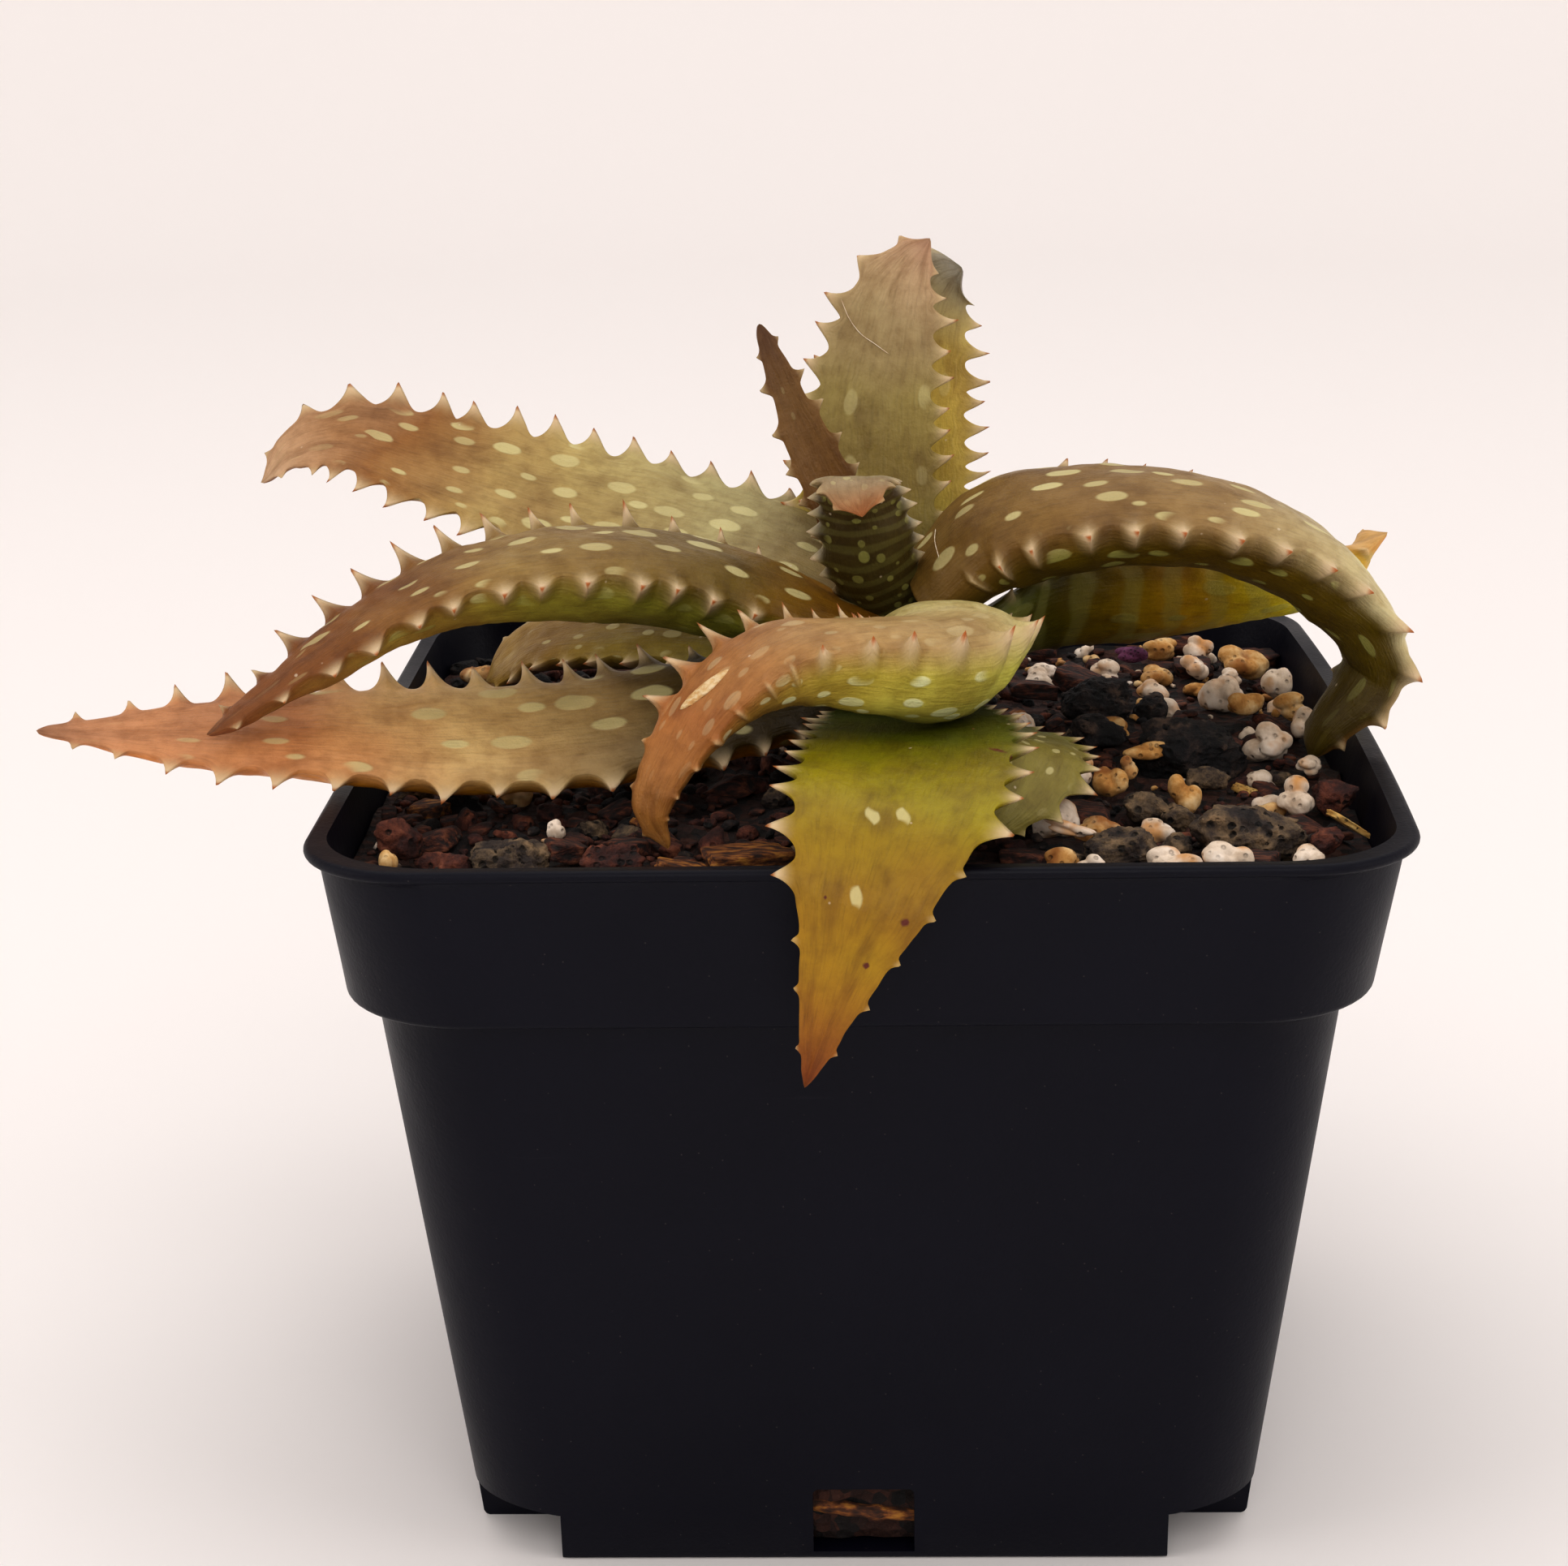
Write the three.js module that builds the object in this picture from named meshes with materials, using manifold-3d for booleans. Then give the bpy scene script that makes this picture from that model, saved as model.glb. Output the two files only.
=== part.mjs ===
// A young spotted aloe hybrid in a square nursery pot.
// Millimetres, +Z up. The origin is the middle of the pot's base, where it rests.
// +X is to the right and -Y towards the front, where the yellow-green leaf hangs over the rim.

import * as THREE from 'three';
import { mergeVertices } from 'three/addons/utils/BufferGeometryUtils.js';
import Module from 'manifold-3d';

const wasm = await Module();
wasm.setup();

// Driving sizes of the pot
const POT_HEIGHT = 74.4;
const LIP_HALF = 50;
const LIP_HEIGHT = 1.1;
const BAND_TOP_HALF = 49.1;
const BAND_FOOT_HALF = 47.6;
const STEP_Z = 58.8;
const BODY_TOP_HALF = 45;
const BODY_FOOT_HALF = 38.1;
const WALL = 1;
const FLOOR = 0.9;
const LIP_BEVEL = 0.3;
const LIP_ROUND = 0.4;
const STEP_RISE = 0.01;
const CORNER_TOP = 11;
const CORNER_FOOT = 9.6;
const SIDE_BOW = 1.5;
const FOOT_HALF = 29.4;
const NOTCH_HEIGHT = 3.6;
const NOTCH_SLOPE = 0.16;
const DRAIN_WIDTH = 9.8;
const DRAIN_TOP = 8.1;
const DRAIN_DEPTH = 10;
const CORNER_STEPS = 5;
const SIDE_STEPS = 4;
const CUTTER_REACH = 12;

// Driving sizes of the mix, the stem and the gaps between neighbours
const GAP = 0.35;
const MIX_TOP = 70.4;
const MIX_RELIEF = 1.1;
const MIX_CELLS = 16;
const MIX_EDGE_DROP = 1.2;
const MIX_EDGE_POWER = 8;
const STEM_RADIUS = 4.2;
const STEM_X = 4;
const STEM_Y = 4;
const STEM_FOOT = 58;
const STEM_TOP = 88;
const STEM_SIDES = 12;
const STEM_SHOULDER = 4;
const STEM_HEAD = 1;
const STEM_HEAD_SHARE = 0.6;
const ROOT_RADIUS = 0.7;
const ROOT_STEPS = 8;
const ROOT_SIDES = 6;
const ROOT_ROOM_STRETCH = 1.05;

// A root lying across the front drain slot
const ROOT_PATH = [
  [-9, -35, 5.4],
  [-3.5, -36.8, 5.1],
  [3.5, -36.9, 4.3],
  [9, -35, 3.8],
];

// Each leaf follows points on its upper face, from its base to its tip.
// A row holds the point, the way the upper face looks, and the width there.
// thick is the leaf's depth for each millimetre of width, at even places from base to tip.
// hollow is how far its face sinks at the base and at the tip, and crowns where it is below 0.
// bare is the share of the length past which each margin has low bumps in place of teeth,
// and lift how far the teeth of each margin stand up, for each millimetre that they stand out.
const LEAVES = {
  leaf_young_curled: {
    rows: [
      [3, 2, 87, 0, 1, 0.3, 8],
      [1.3, -2, 93, 0, 1, 0.3, 8.8],
      [0.6, -4, 98, 0, 1, 0.6, 8],
      [0.2, -6.4, 100.8, 0, 0.5, 1, 6.6],
      [0.1, -9.6, 101.2, 0, -0.4, 1, 6],
      [0.4, -12, 99.8, 0, -0.9, 0.8, 4.8],
      [0.8, -13, 98, 0, -1, 0.4, 0.8],
    ],
    thick: [0.36, 0.36], hollow: [0.1, 0.1], tooth: 1.2, pitch: 2.2,
    lift: [-0.5, -0.5],
  },
  leaf_thin_dry: {
    rows: [
      [2.5, 5, 86, 0.5, -1, 0.2, 4.5],
      [0, 4, 91, 0.5, -1, 0.2, 5],
      [-2, 2.5, 97, 0.5, -1, 0.2, 5.5],
      [-5, 1, 104, 0.5, -1, 0.2, 4.5],
      [-9.2, -1, 115, 0.5, -1, 0.2, 0.8],
    ],
    thick: [0.25, 0.25], hollow: [0.2, 0.2], tooth: 1.1, pitch: 4.2,
  },
  leaf_upright: {
    rows: [
      [3.5, 9, 88, 0, -1, 0.3, 10],
      [2, 12, 96, 0, -1, 0.2, 12],
      [2, 14, 104, 0, -1, 0.2, 11.8],
      [3.2, 16, 111, 0, -1, 0.2, 10],
      [5, 17, 117, 0.2, -1, 0.2, 7],
      [8, 17.5, 121, 0.3, -1, 0.3, 1],
    ],
    thick: [0.25, 0.25], hollow: [0.15, 0.25], tooth: 2.2, pitch: 3.4,
  },
  leaf_upright_back: {
    rows: [
      [4, 14, 87, 0, -1, 0.3, 13],
      [3, 18.5, 95, 0, -1, 0.2, 17],
      [4.2, 22, 103, 0, -1, 0.2, 15],
      [6.5, 24.5, 110, 0, -1, 0.2, 11.5],
      [9.2, 26, 115, 0.1, -1, 0.1, 7],
      [11.5, 25.5, 117, 0.1, -0.6, 0.8, 2],
    ],
    thick: [0.22, 0.22], hollow: [0.2, 0.3], tooth: 2.6, pitch: 3.2,
  },
  leaf_front_hooked: {
    rows: [
      [4.5, -3, 84, 0, 0.1, 1, 10],
      [8, -9, 87.6, 0, 0.15, 1, 12.5],
      [9.5, -17, 89, 0, 0.15, 1, 13],
      [6.5, -25, 90.2, 0, 0.1, 1, 12],
      [-0.5, -29.5, 91.3, 0, 0.05, 1, 9.8],
      [-7, -31.6, 90.9, -0.1, -0.15, 1, 9.6],
      [-12.6, -33.5, 87.2, -0.6, -0.6, 0.8, 8.2],
      [-17.3, -35, 80.4, -0.6, -0.9, 0.3, 5.6],
      [-18.8, -35.7, 75.4, -0.5, -0.9, 0.2, 3.6],
      [-17.2, -36, 72, -0.5, -0.9, 0.2, 0.8],
    ],
    thick: [0.5, 0.78, 0.86, 0.7, 0.45], hollow: [-0.2, 0], tooth: 2.1, pitch: 3.6,
    bare: [0.62, 0.8], lift: [1, 1.1],
  },
  leaf_upper_left: {
    rows: [
      [3, 9, 85.5, 0.3, -0.5, 1, 10],
      [-6, 12, 90, 0.2, -0.5, 1, 13],
      [-18, 15, 92.8, 0.1, -0.6, 1, 12.8],
      [-31, 17.5, 95.2, 0, -0.8, 1, 13],
      [-44, 19.5, 98.4, 0, -0.9, 1, 10.8],
      [-54, 21, 100.8, -0.1, -1, 1, 7.8],
      [-60.5, 21.5, 99.4, -0.7, -0.8, 0.6, 5.4],
      [-64, 21.5, 95.5, -1, -0.5, 0.1, 1],
    ],
    thick: [0.34, 0.3], hollow: [0, 0.2], tooth: 2.8, pitch: 4.4,
  },
  leaf_middle_left: {
    rows: [
      [2, 0, 84.5, 0.2, -0.1, 1, 11],
      [-8, -4, 90, 0.2, -0.15, 1, 13.5],
      [-17, -7, 93.7, 0.1, -0.12, 1, 13.8],
      [-26, -11, 95.6, 0, -0.12, 1, 13],
      [-35, -15, 95.2, -0.1, -0.18, 1, 10.4],
      [-43, -19, 92.8, -0.2, -0.3, 1, 7.6],
      [-51, -24, 88.2, -0.35, -0.4, 1, 5.4],
      [-60.5, -29, 81.4, -0.3, -0.4, 1, 1],
    ],
    thick: [0.56, 0.68, 0.8], hollow: [-0.15, 0], tooth: 3, pitch: 4.8,
    lift: [0, 0.8],
  },
  leaf_right_arching: {
    rows: [
      [6.5, 1, 89, -0.6, -0.3, 1, 13],
      [13, -1.5, 96, -0.5, -0.3, 1, 14.5],
      [22.5, -4.5, 98.9, -0.1, -0.17, 1, 14],
      [32.5, -6, 98.9, 0.1, -0.12, 1, 13.5],
      [41.5, -6.5, 96.6, 0.4, -0.05, 0.9, 12.5],
      [48.5, -6.5, 92, 0.8, 0.1, 0.7, 11],
      [52, -6.5, 85.5, 0.9, 0.4, 0.3, 9.5],
      [52, -6.5, 80, 0.9, 0.5, 0, 8.5],
      [47.2, -7, 74.6, 0.8, 0.5, -0.4, 5.3],
      [45.2, -7.3, 71.6, 0.8, 0.5, -0.4, 1],
    ],
    thick: [0.58, 0.72, 0.69, 0.63, 0.67, 0.7, 0.44, 0.42],
    hollow: [-0.28, 0], tooth: 2.8, pitch: 4.8, lift: [0.3, 0],
  },
  leaf_lower_left: {
    rows: [
      [1, -1, 79.5, 0, -0.4, 1, 10],
      [-12, -10, 80.1, 0, -0.5, 1, 13.6],
      [-25, -17, 79.5, 0, -0.5, 1, 14],
      [-38, -21, 79.7, 0, -0.5, 1, 13.4],
      [-51, -24, 80.9, 0, -0.5, 1, 11.2],
      [-63, -25.5, 81.2, 0, -0.5, 1, 8],
      [-77, -27, 81.4, 0, -0.4, 1, 1],
    ],
    thick: [0.46, 0.44], hollow: [-0.05, 0], tooth: 2.3, pitch: 4.8,
    lift: [-0.2, 0.6],
  },
  leaf_right_lower: {
    rows: [
      [9, 3, 81, 0, 0.2, 1, 11],
      [20, 8.2, 84.7, 0, 1.1, 1, 13],
      [31, 10.5, 85.4, 0, 1, 1, 14],
      [42, 12.5, 85.9, 0, 0.6, 1, 12.5],
      [49, 13.8, 86.9, 0, 0.9, 1, 9.9],
      [52.8, 13.7, 89.6, 0, 0, 1, 6.8],
      [55.6, 13.5, 90.3, 0, 0, 1, 2],
    ],
    thick: [0.32, 0.38], hollow: [-0.1, 0], tooth: 2.4, pitch: 4,
  },
  leaf_front_hanging: {
    rows: [
      [4.3, 0, 77, 0, -0.1, 1, 10],
      [5, -10, 78.5, 0, -0.1, 1, 14],
      [5.8, -23, 80.8, 0, 0, 1, 16.5],
      [5, -36, 81.8, 0, -0.3, 1, 18],
      [3.2, -48, 80.1, 0, -0.8, 0.8, 17],
      [0.8, -54.2, 74, 0, -1, 0.3, 12.2],
      [-1.6, -55.4, 66.5, 0, -1, 0.1, 6.9],
      [-4.6, -56, 56.6, 0, -1, 0.1, 0.8],
    ],
    thick: [0.18, 0.2], hollow: [0.12, 0.06], tooth: 2.4, pitch: 4.8,
    bare: [0.66, 0.77],
  },
  leaf_back_left: {
    rows: [
      [1, 5, 79.5, 0, -0.2, 1, 9],
      [-14, 11, 81.5, 0, -0.3, 1, 12],
      [-25, 16, 81, 0, -0.3, 1, 12],
      [-34, 20, 79, -0.3, -0.3, 1, 10],
      [-39, 22.5, 75.5, -0.8, -0.3, 0.6, 7],
      [-41, 24, 72.6, -1, -0.2, 0.3, 1.5],
    ],
    thick: [0.4, 0.4], hollow: [-0.05, 0], tooth: 2.2, pitch: 4.4,
  },
  leaf_front_under: {
    rows: [
      [7, 1, 75.5, 0, 0, 1, 6.5],
      [13, -9, 76, 0.1, 0, 1, 8],
      [16.5, -19, 77.8, 0.2, -0.2, 1, 8.5],
      [17, -28, 79, 0.3, -0.5, 1, 8.5],
      [15, -34.5, 76.8, 0.3, -1, 0.3, 7],
      [12, -37, 73, 0.3, -1, 0.1, 1],
    ],
    thick: [0.3, 0.3], hollow: [0, 0.05], tooth: 2, pitch: 3.6,
  },
};
const LEAF_RING = 8;
const CURVE_MARKS = 400;
const NUDGE = 0.02;
const TOOTH_STEPS = 3;
const TOOTH_LEAN = 0.3;
const TOOTH_LIFT = 0.15;
const TOOTH_AT_BASE = 4;
const TOOTH_AT_TIP = 5;
const TIP_TOOTH = 0.35;
const BUMP = 0.22;
const LEAST_DEPTH = 0.7;
const LEAST_WIDTH = 0.5;
const ROOM_MARGIN = 3;

// Larger stones on the mix: middle, half sizes, turn about Z, and kind
const STONES = {
  lava_rock_right: [35.5, -32.5, 71.8, 5.8, 4.6, 3.6, 0.1, 'lava'],
  lava_rock_middle: [33.5, -5.5, 72.2, 5.2, 4.6, 3.9, 0.7, 'char'],
  lava_rock_back: [25, 15, 71.8, 4.6, 3.6, 2.7, 0.2, 'char'],
  lava_rock_front: [24.5, -36, 71.4, 4.2, 3.4, 2.4, 0.4, 'lava'],
  lava_rock_left: [-31.5, -37.5, 71.3, 3.9, 3.2, 2.5, 0, 'lava'],
  lava_rock_red: [-22.5, -38, 71.2, 3.1, 2.7, 2, 0.3, 'lava'],
  bark_chip: [-9.5, -39, 71.3, 4.4, 2.4, 1.8, 0.35, 'bark'],
  pumice_front: [28, -42, 72, 2.9, 2, 1.9, 0, 'pumice'],
  pumice_round: [33.2, -42, 72.1, 2.3, 2, 2, 0.3, 'pumice'],
  pumice_corner: [41, -40.5, 71.9, 2, 1.8, 1.7, 0.8, 'pumice'],
  pumice_side: [41.8, -21.5, 72, 2, 2.6, 2.1, 0.3, 'pumice'],
  pumice_large: [42, -3, 72, 2.9, 2.5, 2.4, 0.2, 'pumice'],
  pumice_middle: [39.5, 18, 71.8, 2.7, 2.4, 2.1, 0.4, 'pumice'],
  pumice_back: [43, 31, 71.8, 3.1, 2.5, 2, 0.1, 'tan'],
  pumice_near_left: [19, -27, 71.9, 2.6, 2.4, 2.2, 0.4, 'pumice'],
  pumice_near_right: [22.5, -29, 71.6, 2, 2.4, 2, 1, 'tan'],
  pumice_ochre: [31.3, -19.5, 71.8, 1.9, 1.9, 2, 0, 'tan'],
  pumice_far_left: [-42, 29, 71.8, 3.2, 2.6, 2.1, 0.2, 'tan'],
};

const STONE_LEAST = 0.88;
const STONE_SWELL = 0.24;

// Fine grit is fused into the mix: how many pieces, their least and largest half size,
// how flat they are, and how far they keep from the rim and from the stem
const GRIT_COUNT = 64;
const GRIT_LEAST = 1.4;
const GRIT_MOST = 3;
const GRIT_NARROW = 0.6;
const GRIT_NARROW_SPREAD = 0.3;
const GRIT_FLAT = 0.8;
const GRIT_RISE = 0.2;
const GRIT_MARGIN = 4.5;
const GRIT_FROM_STEM = 12;
const GRIT_REACH = 56;

const COLOURS = {
  pot: ['#15161f', 0.45],
  mix: ['#3a231b', 0.95],
  lava: ['#57493f', 0.95],
  char: ['#231c1a', 0.95],
  bark: ['#7a4a26', 0.9],
  pumice: ['#e2d6c4', 0.9],
  tan: ['#cfae78', 0.9],
  root: ['#5f4029', 0.9],
  stem: ['#8a7a52', 0.8],
};
const LEAF_COLOURS = {
  leaf_young_curled: '#6d6450',
  leaf_thin_dry: '#5b4038',
  leaf_upright: '#6f6c4b',
  leaf_upright_back: '#77713f',
  leaf_front_hooked: '#a58a5c',
  leaf_upper_left: '#8d6a44',
  leaf_middle_left: '#71653f',
  leaf_right_arching: '#75693f',
  leaf_lower_left: '#8a6238',
  leaf_right_lower: '#6b6a2c',
  leaf_front_hanging: '#a59536',
  leaf_back_left: '#6f6a45',
  leaf_front_under: '#8a9440',
};

// Repeatable random numbers from 0 to 1
function seeded(seed) {
  let state = seed;
  return () => {
    state = (state + 0x6d2b79f5) | 0;
    let mixed = Math.imul(state ^ (state >>> 15), 1 | state);
    mixed = (mixed + Math.imul(mixed ^ (mixed >>> 7), 61 | mixed)) ^ mixed;
    return ((mixed ^ (mixed >>> 14)) >>> 0) / 4294967296;
  };
}

// A closed mesh as a solid for cutting and joining
function solid(geometry) {
  const bare = geometry.clone();
  bare.deleteAttribute('normal');
  bare.deleteAttribute('uv');
  const merged = mergeVertices(bare, 1e-4);
  const vertProperties = new Float32Array(merged.attributes.position.array);
  const triVerts = new Uint32Array(merged.index.array);
  return new wasm.Manifold(new wasm.Mesh({ numProp: 3, vertProperties, triVerts }));
}

// A solid back to a mesh geometry
function geometryOf(body) {
  const mesh = body.getMesh();
  const geometry = new THREE.BufferGeometry();
  geometry.setAttribute('position', new THREE.BufferAttribute(new Float32Array(mesh.vertProperties), 3));
  geometry.setIndex(new THREE.BufferAttribute(new Uint32Array(mesh.triVerts), 1));
  geometry.computeVertexNormals();
  return geometry;
}

// The largest piece of a body, with any loose scrap dropped
function largest(body) {
  const pieces = body.decompose();
  return pieces.reduce((best, piece) => (piece.volume() > best.volume() ? piece : best));
}

// Whether the boxes round two bodies meet
function boxesMeet(one, other) {
  const a = one.boundingBox();
  const b = other.boundingBox();
  return [0, 1, 2].every((k) => a.min[k] < b.max[k] && b.min[k] < a.max[k]);
}

// A body less every cutter that comes near it
function cutBy(body, cutters) {
  const near = cutters.filter((cutter) => boxesMeet(body, cutter));
  return near.reduce((rest, cutter) => rest.subtract(cutter), body);
}

// A closed skin over rings of points, with a fan over the first and the last ring
function skin(rings) {
  const count = rings[0].length;
  const positions = rings.flat(2);
  const index = [];
  for (let row = 0; row < rings.length - 1; row += 1) {
    for (let k = 0; k < count; k += 1) {
      const next = (k + 1) % count;
      const a = row * count + k;
      const b = row * count + next;
      index.push(a, b, b + count, a, b + count, a + count);
    }
  }
  const middle = (ring) => [0, 1, 2].map((k) => ring.reduce((sum, p) => sum + p[k], 0) / count);
  const first = positions.length / 3;
  positions.push(...middle(rings[0]), ...middle(rings.at(-1)));
  const top = (rings.length - 1) * count;
  for (let k = 0; k < count; k += 1) {
    const next = (k + 1) % count;
    index.push(first, next, k);
    index.push(first + 1, top + k, top + next);
  }
  const geometry = new THREE.BufferGeometry();
  geometry.setAttribute('position', new THREE.Float32BufferAttribute(positions, 3));
  geometry.setIndex(index);
  return geometry;
}

// One level of the pot: a square with round corners, its right side bowed out near the rim
function level(half, corner, z) {
  const ring = [];
  const flat = half - corner;
  const rise = THREE.MathUtils.clamp((z - STEP_Z) / (POT_HEIGHT - STEP_Z), 0, 1);
  for (let side = 0; side < 4; side += 1) {
    const turn = side * Math.PI / 2;
    const local = [];
    for (let k = 0; k <= CORNER_STEPS; k += 1) {
      const angle = -Math.PI / 2 + k * Math.PI / 2 / CORNER_STEPS;
      local.push([flat + corner * Math.cos(angle), -flat + corner * Math.sin(angle)]);
    }
    for (let k = 1; k < SIDE_STEPS; k += 1) {
      local.push([half, -flat + 2 * flat * k / SIDE_STEPS]);
    }
    for (const [x, y] of local) {
      const px = x * Math.cos(turn) - y * Math.sin(turn);
      const py = x * Math.sin(turn) + y * Math.cos(turn);
      const bow = px > 0 ? SIDE_BOW * rise * (1 - (py / half) ** 2) * (px / half) : 0;
      ring.push([px + bow, py, z]);
    }
  }
  return ring;
}

// The room inside the pot, drawn in by inset, from the floor to above the rim
function room(inset) {
  const corner = (radius) => radius - WALL - inset;
  return solid(skin([
    level(BODY_FOOT_HALF - WALL - inset, corner(CORNER_FOOT), FLOOR + inset),
    level(BODY_TOP_HALF - WALL - inset, corner(CORNER_TOP), STEP_Z + WALL),
    level(BAND_FOOT_HALF - WALL - inset, corner(CORNER_TOP + 1), STEP_Z + WALL + 0.2 + inset),
    level(BAND_TOP_HALF - WALL - inset, corner(CORNER_TOP + 1), POT_HEIGHT + 1),
  ]));
}

// The raised corner under the pot, a block whose top slopes up towards the outside
function cornerBlock(side, grow) {
  const near = FOOT_HALF - grow;
  const far = BODY_FOOT_HALF + CUTTER_REACH;
  const top = (x, y) => NOTCH_HEIGHT + grow + NOTCH_SLOPE * (x - near + y - near);
  const square = [[near, near], [far, near], [far, far], [near, far]];
  const turned = (x, y, z) => new THREE.Vector3(x, y, z)
    .applyAxisAngle(new THREE.Vector3(0, 0, 1), side * Math.PI / 2).toArray();
  const low = square.map(([x, y]) => turned(x, y, -1));
  const high = square.map(([x, y]) => turned(x, y, top(x, y)));
  return solid(skin([low, high]));
}
const CORNERS = [0, 1, 2, 3];

// The drain slot low in the middle of one side
function drain(side) {
  const slot = new THREE.BoxGeometry(DRAIN_WIDTH, DRAIN_DEPTH, DRAIN_TOP - FLOOR);
  slot.translate(0, -BODY_FOOT_HALF, (DRAIN_TOP + FLOOR) / 2);
  slot.rotateZ(side * Math.PI / 2);
  return solid(slot);
}

// The pot: tapered body, wider band above the step, thin rolled lip
function makePot() {
  const lipFoot = POT_HEIGHT - LIP_HEIGHT;
  const outside = solid(skin([
    level(BODY_FOOT_HALF, CORNER_FOOT, 0),
    level(BODY_TOP_HALF, CORNER_TOP, STEP_Z),
    level(BAND_FOOT_HALF, CORNER_TOP + 2, STEP_Z + STEP_RISE),
    level(BAND_TOP_HALF, CORNER_TOP + 1, lipFoot),
    level(LIP_HALF, CORNER_TOP, lipFoot + LIP_BEVEL),
    level(LIP_HALF, CORNER_TOP, POT_HEIGHT - LIP_BEVEL),
    level(LIP_HALF - LIP_ROUND, CORNER_TOP, POT_HEIGHT),
  ]));
  const pads = CORNERS.map((side) => cornerBlock(side, WALL));
  const notches = CORNERS.map((side) => cornerBlock(side, 0));
  const inside = cutBy(room(0), pads);
  return cutBy(outside, [inside, ...notches, ...CORNERS.map(drain)]);
}

// A point on the smooth curve through rows of numbers, with s running from 0 to the last row
function along(rows, s) {
  const last = rows.length - 1;
  const i = Math.min(Math.floor(s), last - 1);
  const t = s - i;
  const b = rows[i];
  const c = rows[i + 1];
  const a = i > 0 ? rows[i - 1] : b.map((v, k) => 2 * v - c[k]);
  const d = i + 2 <= last ? rows[i + 2] : c.map((v, k) => 2 * v - b[k]);
  return b.map((v, k) => 0.5 * (2 * v + (c[k] - a[k]) * t
    + (2 * a[k] - 5 * v + 4 * c[k] - d[k]) * t * t
    + (3 * v - a[k] - 3 * c[k] + d[k]) * t * t * t));
}

// Even steps along a leaf: the place on its curve of each step, and the leaf's length
function evenSteps(rows, wanted) {
  const last = rows.length - 1;
  const marks = Array.from({ length: CURVE_MARKS }, (_, k) => along(rows, last * k / (CURVE_MARKS - 1)));
  const lengths = [0];
  for (let k = 1; k < CURVE_MARKS; k += 1) {
    const [x, y, z] = marks[k];
    const [px, py, pz] = marks[k - 1];
    lengths.push(lengths[k - 1] + Math.hypot(x - px, y - py, z - pz));
  }
  const length = lengths.at(-1);
  const count = wanted(length);
  const places = [];
  for (let step = 0, k = 0; step < count; step += 1) {
    const target = length * step / (count - 1);
    while (k < CURVE_MARKS - 2 && lengths[k + 1] < target) k += 1;
    const part = (target - lengths[k]) / (lengths[k + 1] - lengths[k]);
    places.push(last * (k + Math.min(part, 1)) / (CURVE_MARKS - 1));
  }
  return places;
}

// A value at a share of the way through a list of values at even places
function between(values, share) {
  const spot = share * (values.length - 1);
  const low = Math.min(Math.floor(spot), values.length - 2);
  return THREE.MathUtils.lerp(values[low], values[low + 1], spot - low);
}

// How far a margin's tooth stands out at a step: nothing between teeth, less at the leaf's ends
function toothReach(leaf, step, share, bareFrom) {
  if (step % TOOTH_STEPS !== 1 || step < TOOTH_STEPS || share === 1) return 0;
  const full = Math.min(1, TOOTH_AT_BASE * share, Math.max(TOOTH_AT_TIP * (1 - share), TIP_TOOTH));
  return leaf.tooth * full * (share > bareFrom ? BUMP : 1);
}

// A leaf's closed skin: a ring round the blade at each step, from one margin over the upper face
// to the other margin and back under the leaf, with one step in three drawn out to a tooth.
// With grow, it is the room that the leaf needs among its neighbours.
function makeLeaf(leaf, grow) {
  const { rows, thick, hollow, pitch } = leaf;
  const bare = leaf.bare ?? [1, 1];
  const lift = leaf.lift ?? [TOOTH_LIFT, TOOTH_LIFT];
  const last = rows.length - 1;
  const places = evenSteps(rows, (length) => Math.round(length / pitch) * TOOTH_STEPS + 1);
  const steps = places.length;
  const half = LEAF_RING / 2;
  const rings = places.map((place, step) => {
    const row = along(rows, place);
    const before = new THREE.Vector3(...along(rows, Math.max(place - NUDGE, 0)));
    const after = new THREE.Vector3(...along(rows, Math.min(place + NUDGE, last)));
    const ahead = after.sub(before).normalize();
    const face = new THREE.Vector3(row[3], row[4], row[5]);
    const side = new THREE.Vector3().crossVectors(ahead, face).normalize();
    face.crossVectors(side, ahead);
    const share = step / (steps - 1);
    const width = Math.max(row[6], LEAST_WIDTH);
    const sink = between(hollow, share) * width / 2;
    const depth = Math.max(between(thick, share) * width, Math.min(LEAST_DEPTH, width));
    const topSink = grow > 0 ? Math.min(sink, 0) : sink;
    const middle = new THREE.Vector3(row[0], row[1], row[2]);
    if (step === 0) middle.addScaledVector(ahead, -grow);
    if (step === steps - 1) middle.addScaledVector(ahead, grow);
    const ring = [];
    for (let k = 0; k < LEAF_RING; k += 1) {
      const under = k > half;
      const across = -Math.cos(Math.PI * (under ? LEAF_RING - k : k) / half);
      const arch = 1 - across * across;
      const onMargin = k % half === 0;
      const margin = k === half ? 1 : 0;
      const reach = onMargin ? toothReach(leaf, step, share, bare[margin]) : 0;
      const sideways = across * (width / 2 + ROOM_MARGIN * grow) + Math.sign(across) * reach;
      const overFace = (onMargin ? 0 : grow) - topSink * arch;
      const underFace = -sink * arch - depth * Math.sqrt(arch) - grow;
      const point = middle.clone()
        .addScaledVector(side, sideways)
        .addScaledVector(face, (under ? underFace : overFace) + lift[margin] * reach)
        .addScaledVector(ahead, TOOTH_LEAN * reach);
      ring.push(point.toArray());
    }
    return ring;
  });
  return solid(skin(rings));
}

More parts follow.
